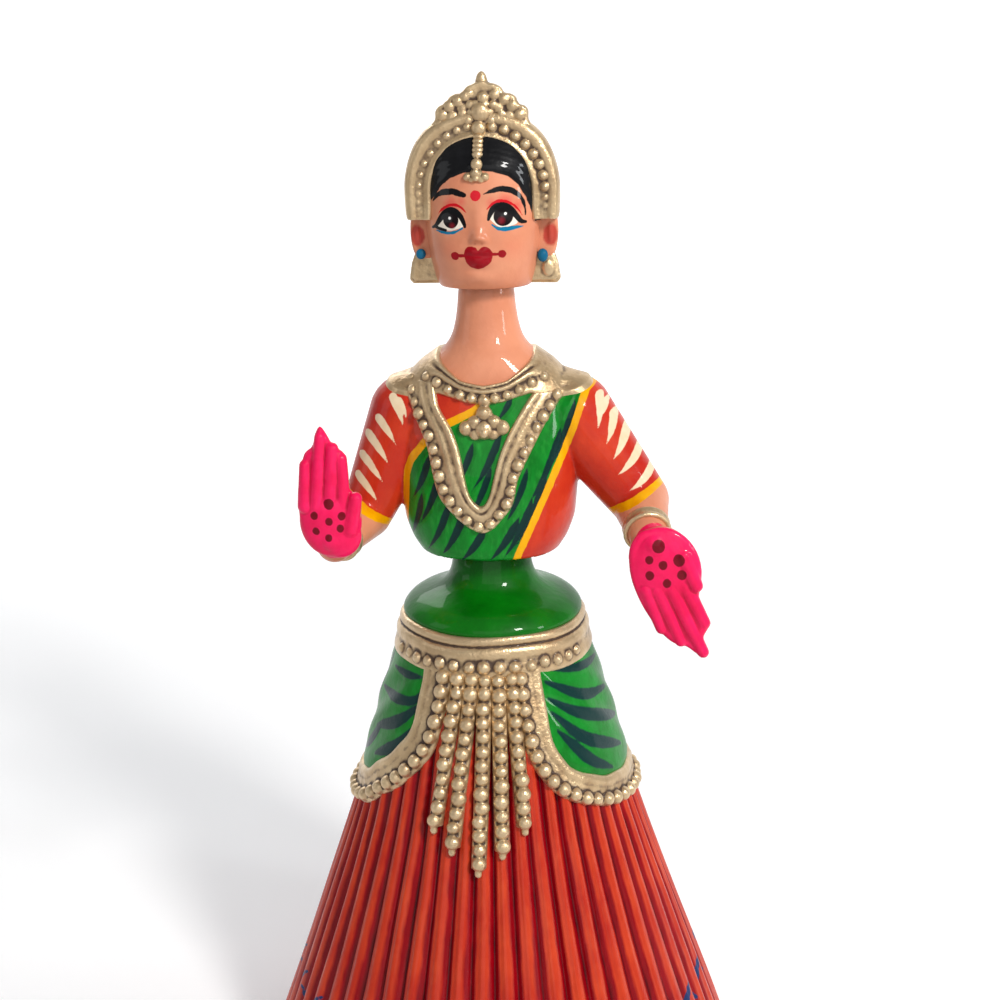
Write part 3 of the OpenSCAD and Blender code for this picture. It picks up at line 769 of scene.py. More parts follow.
# Painted outlines on the chest, as x and height seen from the front
sash = [(33, 232), (29.2, 229.1), (27.3, 224.2), (25.3, 218.2), (22.9, 211.9), (18, 200.9), (13.2, 190.2),
        (9.1, 181.1),
        (6.5, 174), (-24.8, 174), (-24.6, 186), (-23.6, 195.1), (-22.9, 203.5), (-21.4, 207.7),
        (-17.4, 212.8),
        (-10, 218.8), (-2.5, 222.5), (1.5, 225.5), (8, 232), (16, 240), (28, 240)]
pallu = [(33, 232), (27.5, 222), (16, 206), (4, 192), (-6, 174), (-24.8, 174), (-24.6, 186), (-20, 196),
         (-8, 208),
         (4, 220), (12, 232), (16, 240), (28, 240)]
sashStrokes = [(27, 226.5, 17, 203, 1.0), (22.8, 218.5, 13, 196, 1.0), (18.5, 205.5, 8.5, 182, 1.1),
               (14.4, 198.5, 5, 178.5, 1.0),
               (10.5, 192.5, 0.5, 177.5, 1.1), (13, 207.5, 6, 190, 0.9), (5.5, 219, -3.8, 200, 1.0),
               (2.5, 208.5, -6, 190, 0.9),
               (-3, 215, -9.5, 200, 0.9), (0.5, 189.5, -8, 177.5, 1.1), (-5, 196.5, -14, 178.5, 1.1),
               (-10, 198, -18.5, 179.5, 1.0),
               (-13, 206.5, -20.5, 188, 1.0), (-16.3, 211, -22.4, 196, 1.0), (-19, 199, -23.8, 183, 0.9),
               (15, 223.5, 9.8, 211, 0.9),
               (8.5, 228, 3.8, 220.5, 0.8)]
sleeveLeaves = [(-28.6, 227.2, -24.6, 217.4, 1.1), (-26.4, 226, -23.6, 220, 0.8),
                (-33.4, 220.6, -27, 211.8, 1.15),
                (-37, 215.6, -29.4, 205.8, 1.2), (-39, 209.2, -31.2, 199.8, 1.15),
                (-40.4, 203.2, -33.2, 193.9, 1.1),
                (33.6, 227.4, 33.4, 216.6, 1.1), (36, 225, 34.2, 220, 0.8), (38.2, 221.6, 36, 212.2, 1.15),
                (42.4, 217.4, 38, 207.6, 1.25), (46.6, 211.2, 39.4, 203, 1.2), (50.4, 205.2, 42.6, 198, 1.15)]


def paintTorso(thing):
    p = pointsOf(thing)
    flat, front = p[:, [0, 2]], p[:, 1] < 0
    belly = np.where(front, outlineDistance(flat, sash), outlineDistance(flat, pallu))
    onBody = (np.abs(p[:, 0]) < np.where(p[:, 0] > 0, 31.5, 27.9)) | (p[:, 2] > 221)
    paintLayer(thing, "sash", np.where(onBody, belly, 30))
    paintLayer(thing, "sashStroke", lowestOf([leafDistance(flat, s[:2], s[2:4], s[4] * 1.2, 0.05,
                                                           0.3) for s in sashStrokes]))
    paintLayer(thing, "leaf", lowestOf([leafDistance(flat, s[:2], s[2:4], s[4] * 1.22, 0.06,
                                                     0.14) for s in sleeveLeaves]))
    rightCuff = (p - (-34.2, -4, 190.3)) @ (0.62, 0.12, 0.78)
    leftCuff = (p - (42.2, -4, 194.4)) @ (-0.52, 0.1, 0.85)
    cuff = np.where(p[:, 0] > 0, leftCuff, rightCuff)
    paintLayer(thing, "cuff", np.where(onBody, 30, cuff))
    neckline = 230.6 + 8.2 * np.clip(np.abs(np.arctan2(p[:, 0], -p[:, 1])) / 1.5, 0, 1) ** 1.4
    neckline = np.where(p[:, 1] > 0, 236.5, neckline)
    paintLayer(thing, "bare", neckline - p[:, 2])
    return thing


def torsoPaint():
    f = Finish("torsoPaint")
    wobble = f.noise(2.4, 2.0)
    brush = f.noise(5.0, 4.0, stretch=(1.0, 1.0, 0.35))
    red = f.mix(f.spread(f.noise(15, 3.0), 0.0, 1.0), tint(200, 58, 30), tint(180, 34, 20))
    red = f.mix(((brush - 0.52) * 4).clamped() * 0.4, red, tint(214, 66, 30))
    cream = f.mix(f.noise(3.0), tint(236, 218, 186), tint(220, 190, 150))
    colour = f.mix(f.inside("leaf", 0.22, wobble), red, cream)
    yellow = f.mix(f.spread(brush, 0.0, 1.0), tint(240, 176, 0), tint(222, 144, 0))
    skinTone = f.mix(f.spread(f.noise(18, 3.0), 0.0, 1.0), tint(218, 144, 110), tint(200, 124, 92))
    colour = f.mix(f.inside("cuff", 0.2, wobble), colour, yellow)
    colour = f.mix(f.inside("cuff", 0.2, wobble, -2.2), colour, skinTone)
    colour = f.mix(f.inside("sash", 0.2, wobble, 2.2), colour, yellow)
    green = f.mix(f.spread(brush, 0.0, 1.0), tint(8, 136, 36), tint(2, 102, 22))
    green = f.mix(((f.noise(1.8, 4.0, stretch=(1, 1, 0.4)) - 0.5) * 4).clamped() * 0.35, green,
                  tint(52, 168, 60))
    green = f.mix(f.inside("sashStroke", 0.25, wobble), green, tint(0, 42, 38))
    colour = f.mix(f.inside("sash", 0.2, wobble), colour, green)
    colour = f.mix(f.inside("bare", 0.25, wobble), colour, skinTone)
    folds = f.inside("sashStroke", 1.8) * f.inside("sash") * -1.1
    return f.varnish(colour, rough=0.36, bump=0.00045, press=folds)


paintedTorso = paintTorso(makeTorso())
finishPiece(paintedTorso, torsoPaint(), "torso", "blouse_paint", "torso_front", "torso_back",
            "right_arm", "left_arm", "neck_tube")
torsoTree = BVHTree.FromObject(paintedTorso, bpy.context.evaluated_depsgraph_get())
print("torso made")


def castOn(tree, starts, ways):
    # where rays meet a surface, with its normal there
    spots, normals = [], []
    for start, way in zip(np.asarray(starts, float).reshape(-1, 3), np.asarray(ways, float).reshape(-1, 3)):
        spot, normal, _, _ = tree.ray_cast(Vector(start) * mm, Vector(way).normalized())
        if spot is None:
            spot, normal, _, _ = tree.find_nearest((Vector(start) + Vector(way)) * mm)
        spots.append(np.array(spot) / mm)
        normals.append(np.array(normal))
    return np.array(spots), np.array(normals)


def frontHits(tree, flat):
    # points given as x and height, seen from the front
    flat = np.asarray(flat, float)
    grid = flat.reshape(-1, 2)
    starts = np.stack([grid[:, 0], np.full(len(grid), -70.0), grid[:, 1]], 1)
    spots, normals = castOn(tree, starts, np.broadcast_to((0.0, 50.0, 0.0), starts.shape))
    return spots.reshape(*flat.shape[:-1], 3), normals.reshape(*flat.shape[:-1], 3)


def roundHits(tree, centre, phi, lift):
    # points given as an angle from the front and a height angle, seen from a centre inside
    phi, lift = np.broadcast_arrays(np.radians(phi), np.radians(lift))
    way = np.stack([np.sin(phi) * np.cos(lift), -np.cos(phi) * np.cos(lift), np.sin(lift)], -1).reshape(-1, 3)
    spots, normals = castOn(tree, np.asarray(centre) + way * 60, -way)
    return spots.reshape(*phi.shape, 3), normals.reshape(*phi.shape, 3)


def evened(normals, rounds=3):
    # softens normals along a strip
    for _ in range(rounds):
        padded = np.concatenate([normals[:1], normals, normals[-1:]])
        normals = padded[:-2] + 2 * padded[1:-1] + padded[2:]
        padded = np.concatenate([normals[:, :1], normals, normals[:, -1:]], 1)
        normals = padded[:, :-2] + padded[:, 1:-1] + padded[:, 2:]
        normals /= np.linalg.norm(normals, axis=-1, keepdims=True)
    return normals


# Jewellery on the chest

collar = {"centre": (0, 0, 222), "upper": [(0, 30.5), (25, 33), (50, 42), (75, 50), (90, 52), (120, 50),
                                           (150, 46), (180, 45)],
          "lower": [(0, 11), (18, 12.5), (33, 16), (45, 17.5), (58, 9.5), (72, 9.5), (90, 13.5), (112, 16),
                    (140, 20), (180, 20)],
          "profile": [(0.0, -0.2), (0.06, 0.75), (0.14, 0.8), (0.3, 0.85), (0.46, 0.9), (0.54, 1.1),
                      (0.62, 1.75),
                      (0.72, 1.8), (0.78, 1.1), (0.84, 1.1), (0.9, 1.6), (0.96, 1.2), (1.0, -0.2)],
          "beadSize": 1.5, "beadPitch": 3.1}


def collarEdge(edge, phi):
    return np.interp(np.abs(phi), *np.array(collar[edge]).T)


def makeCollar():
    pile = Pile()
    phi = np.linspace(-180, 180, 260, endpoint=False)
    upper, lower = collarEdge("upper", phi), collarEdge("lower", phi)
    u = np.array([row[0] for row in collar["profile"]])
    lift = lower[:, None] + (upper - lower)[:, None] * u
    wall, normals = roundHits(torsoTree, collar["centre"], phi[:, None], lift)
    heights = np.array([row[1] for row in collar["profile"]])[None, :]
    plain = np.minimum(heights, 1.0) + 0.25 * np.sin(np.pi * u)[None,
                                                                :]        # smooth plates on the shoulders
    share = np.clip((np.abs(phi) - 52) / 16, 0, 1)[:, None]
    pile.relief(wall, evened(normals), heights * (1 - share) + plain * share, closed=True)
    phi = np.linspace(-180, 180, 60, endpoint=False)
    upper, lower = collarEdge("upper", phi), collarEdge("lower", phi)
    share = np.interp(np.abs(phi), [0, 35, 60, 90, 180], [0.26, 0.3, 0.5, 0.5, 0.3])
    spots, out = roundHits(torsoTree, collar["centre"], phi, lower + (upper - lower) * share)
    ahead = -spots[:, 1] > 0.55 * np.abs(spots[:, 0])
    pile.beads(spots[ahead], out[ahead], collar["beadPitch"], collar["beadSize"], (0.85, 1.08), 0.7)
    return pile.cast("goldCollar", 0.33, 3)


garland = {"outer": [(-24.5, 231), (-23.8, 227.5), (-22.4, 223.9), (-20, 218.5), (-17.6, 213.5), (-16.2, 208),
                     (-15.2, 203), (-13.6, 198),
                     (-11.2, 194.7), (-7.3, 190.8), (-3.6, 188.3), (-0.6, 187.2), (2.4, 188.4), (5.2, 191.3),
                     (8.6, 196), (10.3, 203.5),
                     (13.7, 210.6), (18, 218.8), (22.2, 225.3), (24.2, 228.6)],
           "inner": [(-14.5, 231), (-14, 227.5), (-13.1, 224.1), (-9.6, 218.6), (-7.6, 213.8), (-6.4, 209.2),
                     (-5.6, 205), (-4.9, 201.5),
                     (-4, 198.8), (-2.8, 197), (-1.8, 196.1), (-0.9, 195.8), (0.1, 196.3), (1.0, 197.6),
                     (2.0, 200.2), (3.1, 205),
                     (4.9, 211.5), (7.6, 217.8), (11, 223.7), (14, 228)],
           "profile": [(0.0, -0.2), (0.05, 0.7), (0.14, 0.8), (0.34, 0.85), (0.46, 0.95), (0.54, 1.2),
                       (0.62, 1.25), (0.7, 1.0),
                       (0.77, 1.0), (0.85, 1.35), (0.93, 1.3), (0.98, 0.7), (1.0, -0.2)],
           "beadSize": 1.85, "beadPitch": 3.7, "beadShares": (0.77, 0.23)}


def makeGarland():
    pile = Pile()
    outer, inner = curveThrough(garland["outer"], 170), curveThrough(garland["inner"], 170)
    u = np.array([row[0] for row in garland["profile"]])[None, :, None]
    wall, normals = frontHits(torsoTree, outer[:, None] * (1 - u) + inner[:, None] * u)
    heights = np.array([row[1] for row in garland["profile"]])[None, :]
    pile.relief(wall, evened(normals), heights)
    outerShare, innerShare = garland["beadShares"]
    spots, out = frontHits(torsoTree, outer * outerShare + inner * innerShare)
    pile.beads(spots, out, garland["beadPitch"], garland["beadSize"], (0.8, 1.1), 0.45)
    return pile.cast("goldGarland", 0.33, 3)


def makePendant():
    # three lobes under a stalk, with small beads
    pile = Pile()
    for x, z, size, lift in ((0.4, 225.6, 1.7, 0.7), (0.3, 222.6, 2.3, 0.6), (-4.2, 219.0, 2.1, 0.5),
                             (0.3, 218.6, 2.6, 0.6),
                             (4.8, 219.2, 2.1, 0.5), (-2.0, 220.2, 2.3, 0.4), (2.6, 220.3, 2.3, 0.4),
                             (-2.0, 217.6, 1.7, 0.4),
                             (2.6, 217.7, 1.7, 0.4), (0.3, 222.8, 1.3, 2.0), (-4.4, 219, 1.1, 1.6),
                             (5.0, 219.2, 1.1, 1.6),
                             (0.3, 217.6, 1.2, 2.0), (-1.9, 220.6, 0.9, 2.0), (2.6, 220.7, 0.9, 2.0),
                             (0.4, 225.8, 1.1, 1.6)):
        spot, out = frontHits(torsoTree, [[0.3 + (x - 0.3) * 1.15, 221.5 + (z - 221.5) * 1.15]])
        pile.ball(spot[0] + out[0] * lift, (size * 1.12, size * 0.85, size * 1.12))
    return pile.cast("goldPendant", 0.3, 3)


finishPiece(makeCollar(), gold, "torso", "gold_paint", "choker")
finishPiece(makeGarland(), gold, "torso", "gold_paint", "long_garland")
finishPiece(makePendant(), gold, "torso", "gold_paint", "pendant")
print("jewellery made")

# Hands and bangles

hands = {
    "right": {"palm": [((-44, -32.6, 194.5), (9.3, 3.5, 11.2), 0), ((-42, -32.2, 190), (7.0, 3.6, 7.2), 0)],
              "fingers": [((-51, -33.2, 199), (-50.6, -33.6, 211.3), 2.5, 1.7),
                          ((-47.6, -33.4, 199), (-45.9, -34.0, 219.8), 2.5, 1.5),
                          ((-43.6, -33.4, 199), (-42.3, -33.8, 216.4), 2.5, 1.8),
                          ((-39.9, -33.1, 199), (-39.9, -33.4, 213.3), 2.3, 1.7),
                          ((-38.2, -33.4, 192), (-36.0, -34.2, 201.6), 2.6, 1.9)],
              "heel": ((-44.3, -26.5, 185.2), (-43.6, -31.0, 189.0), 5.2, 5.2),
              "slab": -33.2, "outline": [(-46.5, 183.9), (-43.5, 184), (-38.7, 187.2), (-35.4, 193.2),
                                         (-34.4, 200.2), (-35, 203),
                                         (-37.4, 203.6), (-38.7, 208.3), (-38.7, 214), (-39.8, 215.8),
                                         (-41.9, 216.6), (-43.2, 219.4),
                                         (-44.8, 222.2), (-46.0, 223.0), (-47.4, 220.6), (-48.4, 217.0),
                                         (-50.9, 214.6), (-52.2, 208.4),
                                         (-53.4, 202.3), (-52.8, 193.4), (-50.3, 186.8)]},
    "left": {"palm": [((53.6, -28.6, 179.2), (10.4, 2.7, 12.8), 18),
                      ((51.6, -27.6, 185), (8.0, 3.6, 6.6), 12)],
             "fingers": [((48.2, -28.6, 172.5), (52.6, -28.8, 160.6), 2.5, 1.8),
                         ((51.6, -28.8, 172.5), (58.3, -29.0, 156.8), 2.5, 1.8),
                         ((55.2, -28.8, 173.5), (64.9, -29.2, 153.4), 2.5, 1.8),
                         ((59.0, -28.6, 174.5), (65.2, -28.8, 162.4), 2.4, 1.8),
                         ((58.8, -29.0, 183), (62.6, -29.6, 174.2), 2.6, 2.0)],
             "heel": ((48.6, -22.0, 187.0), (50.6, -26.4, 186.2), 5.4, 5.2),
             "slab": -28.8, "outline": [(50.1, 191.7), (45.8, 190.2), (43.3, 186.4), (42.7, 182.4),
                                        (43.5, 175.9), (46.3, 168.5), (50.4, 161.7),
                                        (53, 158.5), (56, 156), (60, 154.8), (62.7, 152.8), (65.8, 151.5),
                                        (66.5, 152.8), (65.1, 157.7),
                                        (66.6, 161.2), (66.2, 164), (63.6, 170.2), (64.4, 174.9),
                                        (62.7, 179.5), (59.8, 185), (56.6, 189.3),
                                        (53.3, 191.1)]}}
palmDots = {"right": [(-43.8, 200.2, 1.5), (-48.2, 196.7, 1.1), (-40.1, 196.6, 1.2), (-43.9, 195.0, 1.1),
                      (-40.7, 192.9, 1.1),
                      (-47.9, 192.0, 1.1), (-44.2, 190.0, 1.1)],
            "left": [(51.5, 186.6, 1.9), (48.8, 182.4, 1.2), (52.8, 180.9, 1.3), (57.4, 182.4, 1.7),
                     (49.0, 177.6, 1.3),
                     (58.3, 177.9, 1.4), (54.0, 175.4, 1.3)]}


def makeHand(word):
    pile, parts = Pile(), hands[word]
    for centre, size, lean in parts["palm"]:
        q = math.radians(lean)
        turn = np.array([[math.cos(q), 0, -math.sin(q)], [0, 1, 0], [math.sin(q), 0, math.cos(q)]])
        pile.ball(centre, size, turn, 21, 32)
    for a, b, ra, rb in parts["fingers"]:
        pile.limb(a, b, ra, rb, 20)
    a, b, ra, rb = parts["heel"]
    pile.limb(a, b, ra, rb)
    edge = curveThrough(parts["outline"] + parts["outline"][:1], 90)[:-1]
    inward = np.gradient(edge, axis=0)[:, ::-1] * (-1, 1)
    inward /= np.linalg.norm(inward, axis=1, keepdims=True)
    rings = []
    for y, inset in ((1.9, 1.5), (1.2, 0.6), (0.2, 0.1), (-0.5, 0.2), (-1.0, 0.8), (-1.25, 1.6)):
        at = edge + inward * inset
        rings.append(np.stack([at[:, 0], np.full(len(at), parts["slab"] + y), at[:, 1]], 1))
    pile.rings(rings)
    hand = castWhole(pile.made(word + "PaintedHand"), 0.36, 6)
    p, n = pointsOf(hand), normalsOf(hand)
    facing = -n[:, 1] * 0.93 + n[:, 2] * 0.2
    paintLayer(hand, "back", (facing - 0.12) * 4)
    dots = [np.hypot(p[:, 0] - x, (p[:, 2] - z) * 0.92) - r for x, z, r in palmDots[word]]
    paintLayer(hand, "dot", np.where(facing > 0.1, lowestOf(dots), 9.0))
    return markHollows(hand)


def palmPaint():
    f = Finish("palmPaint")
    wobble = f.noise(2.0, 2.0)
    pink = f.mix(f.spread(f.noise(7, 3.0), 0.0, 1.0), tint(246, 28, 96), tint(226, 14, 76))
    # painted shade: the hollows of the hand and between the fingers are darkened to deep crimson
    pink = f.mix((f.layer("hollow") * 9.0 - 0.2).clamped() * 0.75, pink, tint(160, 2, 38))
    skinTone = f.mix(f.noise(9), tint(216, 140, 104), tint(198, 118, 88))
    colour = f.mix(f.inside("back", 0.5, wobble), pink, skinTone)
    colour = f.mix(f.inside("dot", 0.22, wobble), colour, tint(112, 0, 22))
    return f.varnish(colour, rough=0.34)


def makeBangle(word):
    # two ridges round the forearm
    elbow, wrist = np.array(arms[word][1], float), np.array(arms[word][2], float)
    r0 = arms[word + "Size"]
    axis = (elbow - wrist) / np.linalg.norm(elbow - wrist)
    share = 0.17
    centre, r = wrist + (elbow - wrist) * share, r0[2] + (r0[1] - r0[2]) * share
    side = np.cross(axis, (0, 0, 1.0))
    side /= np.linalg.norm(side)
    other = np.cross(axis, side)
    section = [(-2.2, -0.5), (-2.1, 0.4), (-1.5, 0.8), (-0.7, 0.55), (0, 0.45), (0.7, 0.55), (1.5, 0.8),
               (2.1, 0.4), (2.2, -0.5)]
    rings = [[centre + axis * u + (r + v + 0.12) * (side * math.cos(q) + other * math.sin(q))
              for u, v in section]
             for q in np.linspace(0, 2 * math.pi, 96, endpoint=False)]
    pile = Pile()
    pile.rings(rings, closed=True)
    return pile.cast(word + "GoldBangle", 0.26, 2)


handPaint = palmPaint()
for word in ("right", "left"):
    finishPiece(makeHand(word), handPaint, "torso", "palm_paint", word + "_hand")
    finishPiece(makeBangle(word), gold, "torso", "gold_paint", word + "_bangle")
print("hands made")

# The head is a moulded shell with a painted face

head = {"rows": [(259, 14.0, 14.0, 13.6, 2.3), (262, 14.9, 15.8, 15, 2.2), (267, 16.1, 17.0, 16, 2.15),
                 (274, 17, 17.2, 17, 2.15),
                 (282, 17.6, 16.9, 17.8, 2.1), (289, 17.8, 16.2, 18, 2), (295, 17.4, 14.8, 17.4, 2),
                 (300, 15.6, 11.8, 15.4, 2),
                 (304, 11.8, 8.2, 11.4, 2), (306.5, 7, 4.8, 6.6, 2), (307.5, 3, 2.4, 3, 2)],
        "frontColumns": 260, "backColumns": 90, "rings": 190, "bottomHole": 12.75}
headTable = rowTable(head["rows"], 2.0)
# Bumps of the face: x, height, half width, half height, rise
features = [(-0.2, 279.5, 2.1, 4.6, 0.6), (-0.3, 275.4, 2.1, 2.0, 1.1), (-0.3, 274.2, 1.6, 1.2, 1.2),
            (-2.0, 273.6, 1.0, 0.9, 0.6),
            (1.5, 273.6, 1.0, 0.9, 0.6), (-7.4, 281.0, 4.2, 2.4, -0.45), (6.8, 281.0, 4.2, 2.4, -0.45),
            (-7.4, 279.2, 2.4, 1.8, 0.35),
            (6.8, 279.4, 2.4, 1.8, 0.35), (-9, 270.5, 4.5, 4.0, 0.45), (8.6, 270.5, 4.5, 4.0, 0.45),
            (-0.6, 268.8, 3.6, 2.4, 0.8),
            (-2.2, 270.6, 1.5, 1.0, 0.4), (0.9, 270.7, 1.5, 1.0, 0.4), (-0.6, 267.2, 2.4, 1.1, 0.45),
            (-0.6, 269.2, 3.4, 0.35, -0.35),
            (-0.5, 262.6, 4.0, 2.0, 0.6), (-0.4, 264.9, 3.0, 0.8, -0.3)]


def makeHead():
    front = np.linspace(-98, 98, head["frontColumns"], endpoint=False)
    back = np.linspace(98, 262, head["backColumns"], endpoint=False)
    phi = np.radians(np.concatenate([front, back]))[None, :]
    t = np.linspace(0, 1, head["rings"])[:, None]
    low, high = 259.0, 307.6
    z = low + (high - low) * np.sin(t * 1.3) / math.sin(1.3)
    r = sectionRadius(headTable, phi, z)
    r = r * np.interp(z, [259, 259.5, 260.4, 261.5], [0.955, 0.98, 0.995, 1.0])
    x, facing = r * np.sin(phi), np.clip(np.cos(phi) * 1.6, 0, 1)
    for fx, fz, w, h, rise in features:
        r = r + rise * np.exp(-((x - fx) / w) ** 2 - ((z - fz) / h) ** 2) * facing
    flat = np.stack([x.ravel(), (z + 0 * x).ravel()], 1)
    hair = np.where(np.cos(phi) > 0, outlineDistance(flat, hairline).reshape(x.shape), 9.0)
    behind = np.sin(np.arctan2(z - 281, np.abs(x) + 1e-6) * 40) * 0.06
    comb = np.clip(hair, 0, 1) * np.where(np.cos(phi) > 0, 0.02 * np.sin(hair * 4.2), behind)
    r = r + comb + np.clip(hair, 0, 1) * 0.35
    cap = np.array([[0, 0, high + 0.25]])
    body = polar(phi, r, z + 0 * phi)
    floorRings = np.stack([polar(phi[0], np.maximum(r[0] * s, head["bottomHole"]), 258.9 + rise)
                           for s, rise in ((0.84, 1.6), (0.86, 0.5), (0.93, 0.0))])
    body = np.concatenate([floorRings, body])
    n, cols = body.shape[:2]
    faces = gridQuads(n, cols, True) + [[(n - 1) * cols + j, (n - 1) * cols + (j + 1) % cols, n * cols]
                                        for j in range(cols)]
    points = np.concatenate([body.reshape(-1, 3), cap])
    thing = makeObject("paintedHead", points, faces)
    flat = points[:, [0, 2]]
    ahead = points[:, 1] < 0
    onFace = lambda d: np.where(ahead, d, 20.0)
    paintLayer(thing, "hair", -np.where(ahead, outlineDistance(flat, hairline), 9.0))
    for key, strokes in faceStrokes.items():
        paintLayer(thing, key, onFace(lowestOf([brushDistance(flat, line[:, :2], line[:, 2])
                                                for line in (curveThrough(path, 30) for path in strokes)])))
    for key, outlines in faceOutlines.items():
        closed = [curveThrough(line + line[:1], 60)[:-1] for line in outlines]
        paintLayer(thing, key, onFace(lowestOf([outlineDistance(flat, line) for line in closed])))
    for key, spots in faceSpots.items():
        paintLayer(thing, key, onFace(lowestOf([np.hypot(flat[:, 0] - x, flat[:, 1] - z) - r
                                                for x, z, r in spots])))
    return thing


hairline = [(-30, 250), (-30, 279), (-15.9, 279.3), (-15.4, 283.5), (-12.7, 286.4), (-11.2, 288.6),
            (-8.4, 290.9), (-4.5, 292.4),
            (-0.2, 292.9), (4, 292.6), (8.2, 291.3), (10.9, 288.9), (13.1, 285.1), (14.9, 279.8), (15.4, 278),
            (30, 277), (30, 250)]
faceStrokes = {  # x, height and half width along each stroke
    "brow": [[(-13.9, 284.3, 0.15), (-12.4, 286.0, 0.6), (-10.3, 287.0, 0.9), (-7.8, 287.2, 0.9),
              (-5.6, 286.6, 0.85), (-4.3, 286.2, 0.7)],
             [(1.3, 286.5, 0.12), (3.2, 287.2, 0.5), (5.6, 287.8, 0.8), (8.2, 287.6, 0.85),
              (10.2, 286.6, 0.75), (11.8, 285.0, 0.5),
              (12.7, 282.6, 0.35), (12.9, 280.2, 0.12)]],
    "lid": [[(-14.2, 276.7, 0.1), (-13.1, 277.4, 0.25), (-11.9, 279.0, 0.5), (-10.3, 281.0, 0.65),
             (-8.5, 281.9, 0.7), (-6.9, 281.6, 0.6),
             (-5.4, 280.2, 0.5), (-4.4, 278.2, 0.3), (-4.2, 277.4, 0.15)],
            [(-13.4, 277.0, 0.15), (-12.0, 276.6, 0.2), (-10, 276.2, 0.15)],
            [(2.6, 279.4, 0.15), (3.3, 281.3, 0.5), (4.6, 282.9, 0.75), (6.6, 283.2, 0.85),
             (8.6, 282.2, 0.75), (10.2, 280.4, 0.55),
             (11.6, 278.6, 0.4), (12.9, 278.2, 0.15)]],
    "line": [[(-12.9, 276.0, 0.2), (-11, 275.6, 0.38), (-9, 275.5, 0.42), (-7, 275.9, 0.38),
              (-4.9, 277.0, 0.2)],
             [(3.6, 277.9, 0.25), (5.2, 276.9, 0.5), (7, 276.6, 0.6), (9.4, 276.8, 0.55),
              (12.3, 277.1, 0.15)]],
    "crease": [[(-12.4, 280.6, 0.1), (-11.2, 281.9, 0.3), (-9.3, 283.1, 0.4), (-7.4, 283.5, 0.4),
                (-5.4, 282.9, 0.35), (-3.8, 281.4, 0.15)],
               [(2.2, 282.3, 0.15), (4.2, 284.1, 0.35), (6.3, 284.6, 0.4), (8.4, 284.0, 0.38),
                (10.4, 282.6, 0.3), (12, 280.2, 0.15)]],
    "smile": [[(-7.0, 269.1, 0.5), (-4.2, 269.2, 0.42)], [(3.0, 269.5, 0.4), (6.3, 269.6, 0.5)]]}
faceOutlines = {
    "white": [[(-12.9, 277.2), (-11.2, 279.8), (-8.6, 281.3), (-6.2, 280.6), (-4.4, 277.9), (-6.8, 276.6),
               (-9.4, 276.2)],
              [(2.9, 279.6), (4.3, 281.8), (6.8, 282.6), (9.2, 280.8), (10.8, 278.4), (8.8, 277.4),
               (5.6, 277.3)]],
    "lips": [[(-4.7, 269.4), (-4.1, 271.2), (-2.6, 271.9), (-1.2, 271.5), (-0.5, 270.7), (0.3, 271.5),
              (1.7, 271.8), (3.1, 271.0),
              (3.7, 269.5), (3.0, 267.3), (1.3, 265.9), (-0.6, 265.3), (-2.6, 265.9), (-4.0, 267.3)]]}
faceSpots = {"iris": [(-8.4, 279.2, 2.35), (6.8, 280.2, 2.75)],
             "glow": [(-8.0, 277.6, 0.75), (6.3, 279.0, 0.9)],
             "glint": [(-8.7, 279.7, 0.42), (7.4, 280.9, 0.4)], "bindi": [(-1.0, 286.1, 1.5)],
             "smileDot": [(-7.3, 269.0, 1.2), (6.3, 269.6, 1.15)],
             "nostril": [(-1.3, 272.6, 0.3), (0.7, 272.6, 0.3)],
             "cheek": [(-9, 271, 2.0), (9, 271, 2.0)],
             "shadow": [(-8.2, 283.6, 2.6), (-5.2, 284.4, 1.6), (7.4, 284.2, 2.8), (3.6, 284.0, 1.8),
                        (10.6, 283, 2)]}


def facePaint():
    f = Finish("facePaint")
    wobble = f.noise(1.6, 2.0)
    colour = f.mix(f.spread(f.noise(15, 3.0), 0.0, 1.0), tint(220, 148, 114), tint(204, 128, 96))
    colour = f.mix(((f.noise(3, 4.0) - 0.55) * 4).clamped() * 0.25, colour, tint(224, 152, 116))
    colour = f.mix(f.inside("cheek", 6.0) * 0.35, colour, tint(206, 104, 80))
    colour = f.mix(f.inside("shadow", 2.0, None, -0.7) * 0.6, colour, tint(212, 74, 70))
    white = f.mix(f.noise(3), tint(244, 236, 220), tint(226, 214, 196))
    colour = f.mix(f.inside("white", 0.12), colour, white)
    colour = f.mix(f.inside("iris", 0.14) * f.inside("white", 0.2, None, 0.35), colour, tint(14, 4, 6))
    colour = f.mix(f.inside("glow", 0.9), colour, tint(112, 12, 26))
    colour = f.mix(f.inside("line", 0.14, wobble), colour, tint(4, 112, 148))
    colour = f.mix(f.inside("lid", 0.14, None, 0.26), colour, tint(8, 8, 10))
    colour = f.mix(f.inside("crease", 0.16, wobble), colour, tint(196, 10, 26))
    colour = f.mix(f.inside("brow", 0.16, wobble), colour, tint(10, 10, 12))
    colour = f.mix(f.inside("glint", 0.16), colour, tint(250, 248, 242))
    lip = f.mix(f.noise(3), tint(162, 0, 22), tint(128, 0, 12))
    colour = f.mix(f.inside("smile", 0.16, wobble), colour, lip)
    colour = f.mix(f.inside("smileDot", 0.16, wobble), colour, lip)
    colour = f.mix(f.inside("lips", 0.16, wobble), colour, lip)
    # painted shade: soft brown spots where the nostrils lie under the nose
    colour = f.mix(f.inside("nostril", 0.5) * 0.45, colour, tint(150, 76, 56))
    colour = f.mix(f.inside("bindi", 0.16, wobble), colour, tint(200, 14, 34))
    hair = f.mix(f.spread(f.noise(4, 4.0), 0.0, 1.0), tint(20, 20, 22), tint(8, 8, 10))
    colour = f.mix(f.inside("hair", 0.2, wobble), colour, hair)
    return f.varnish(colour, rough=0.36, bump=0.0004)


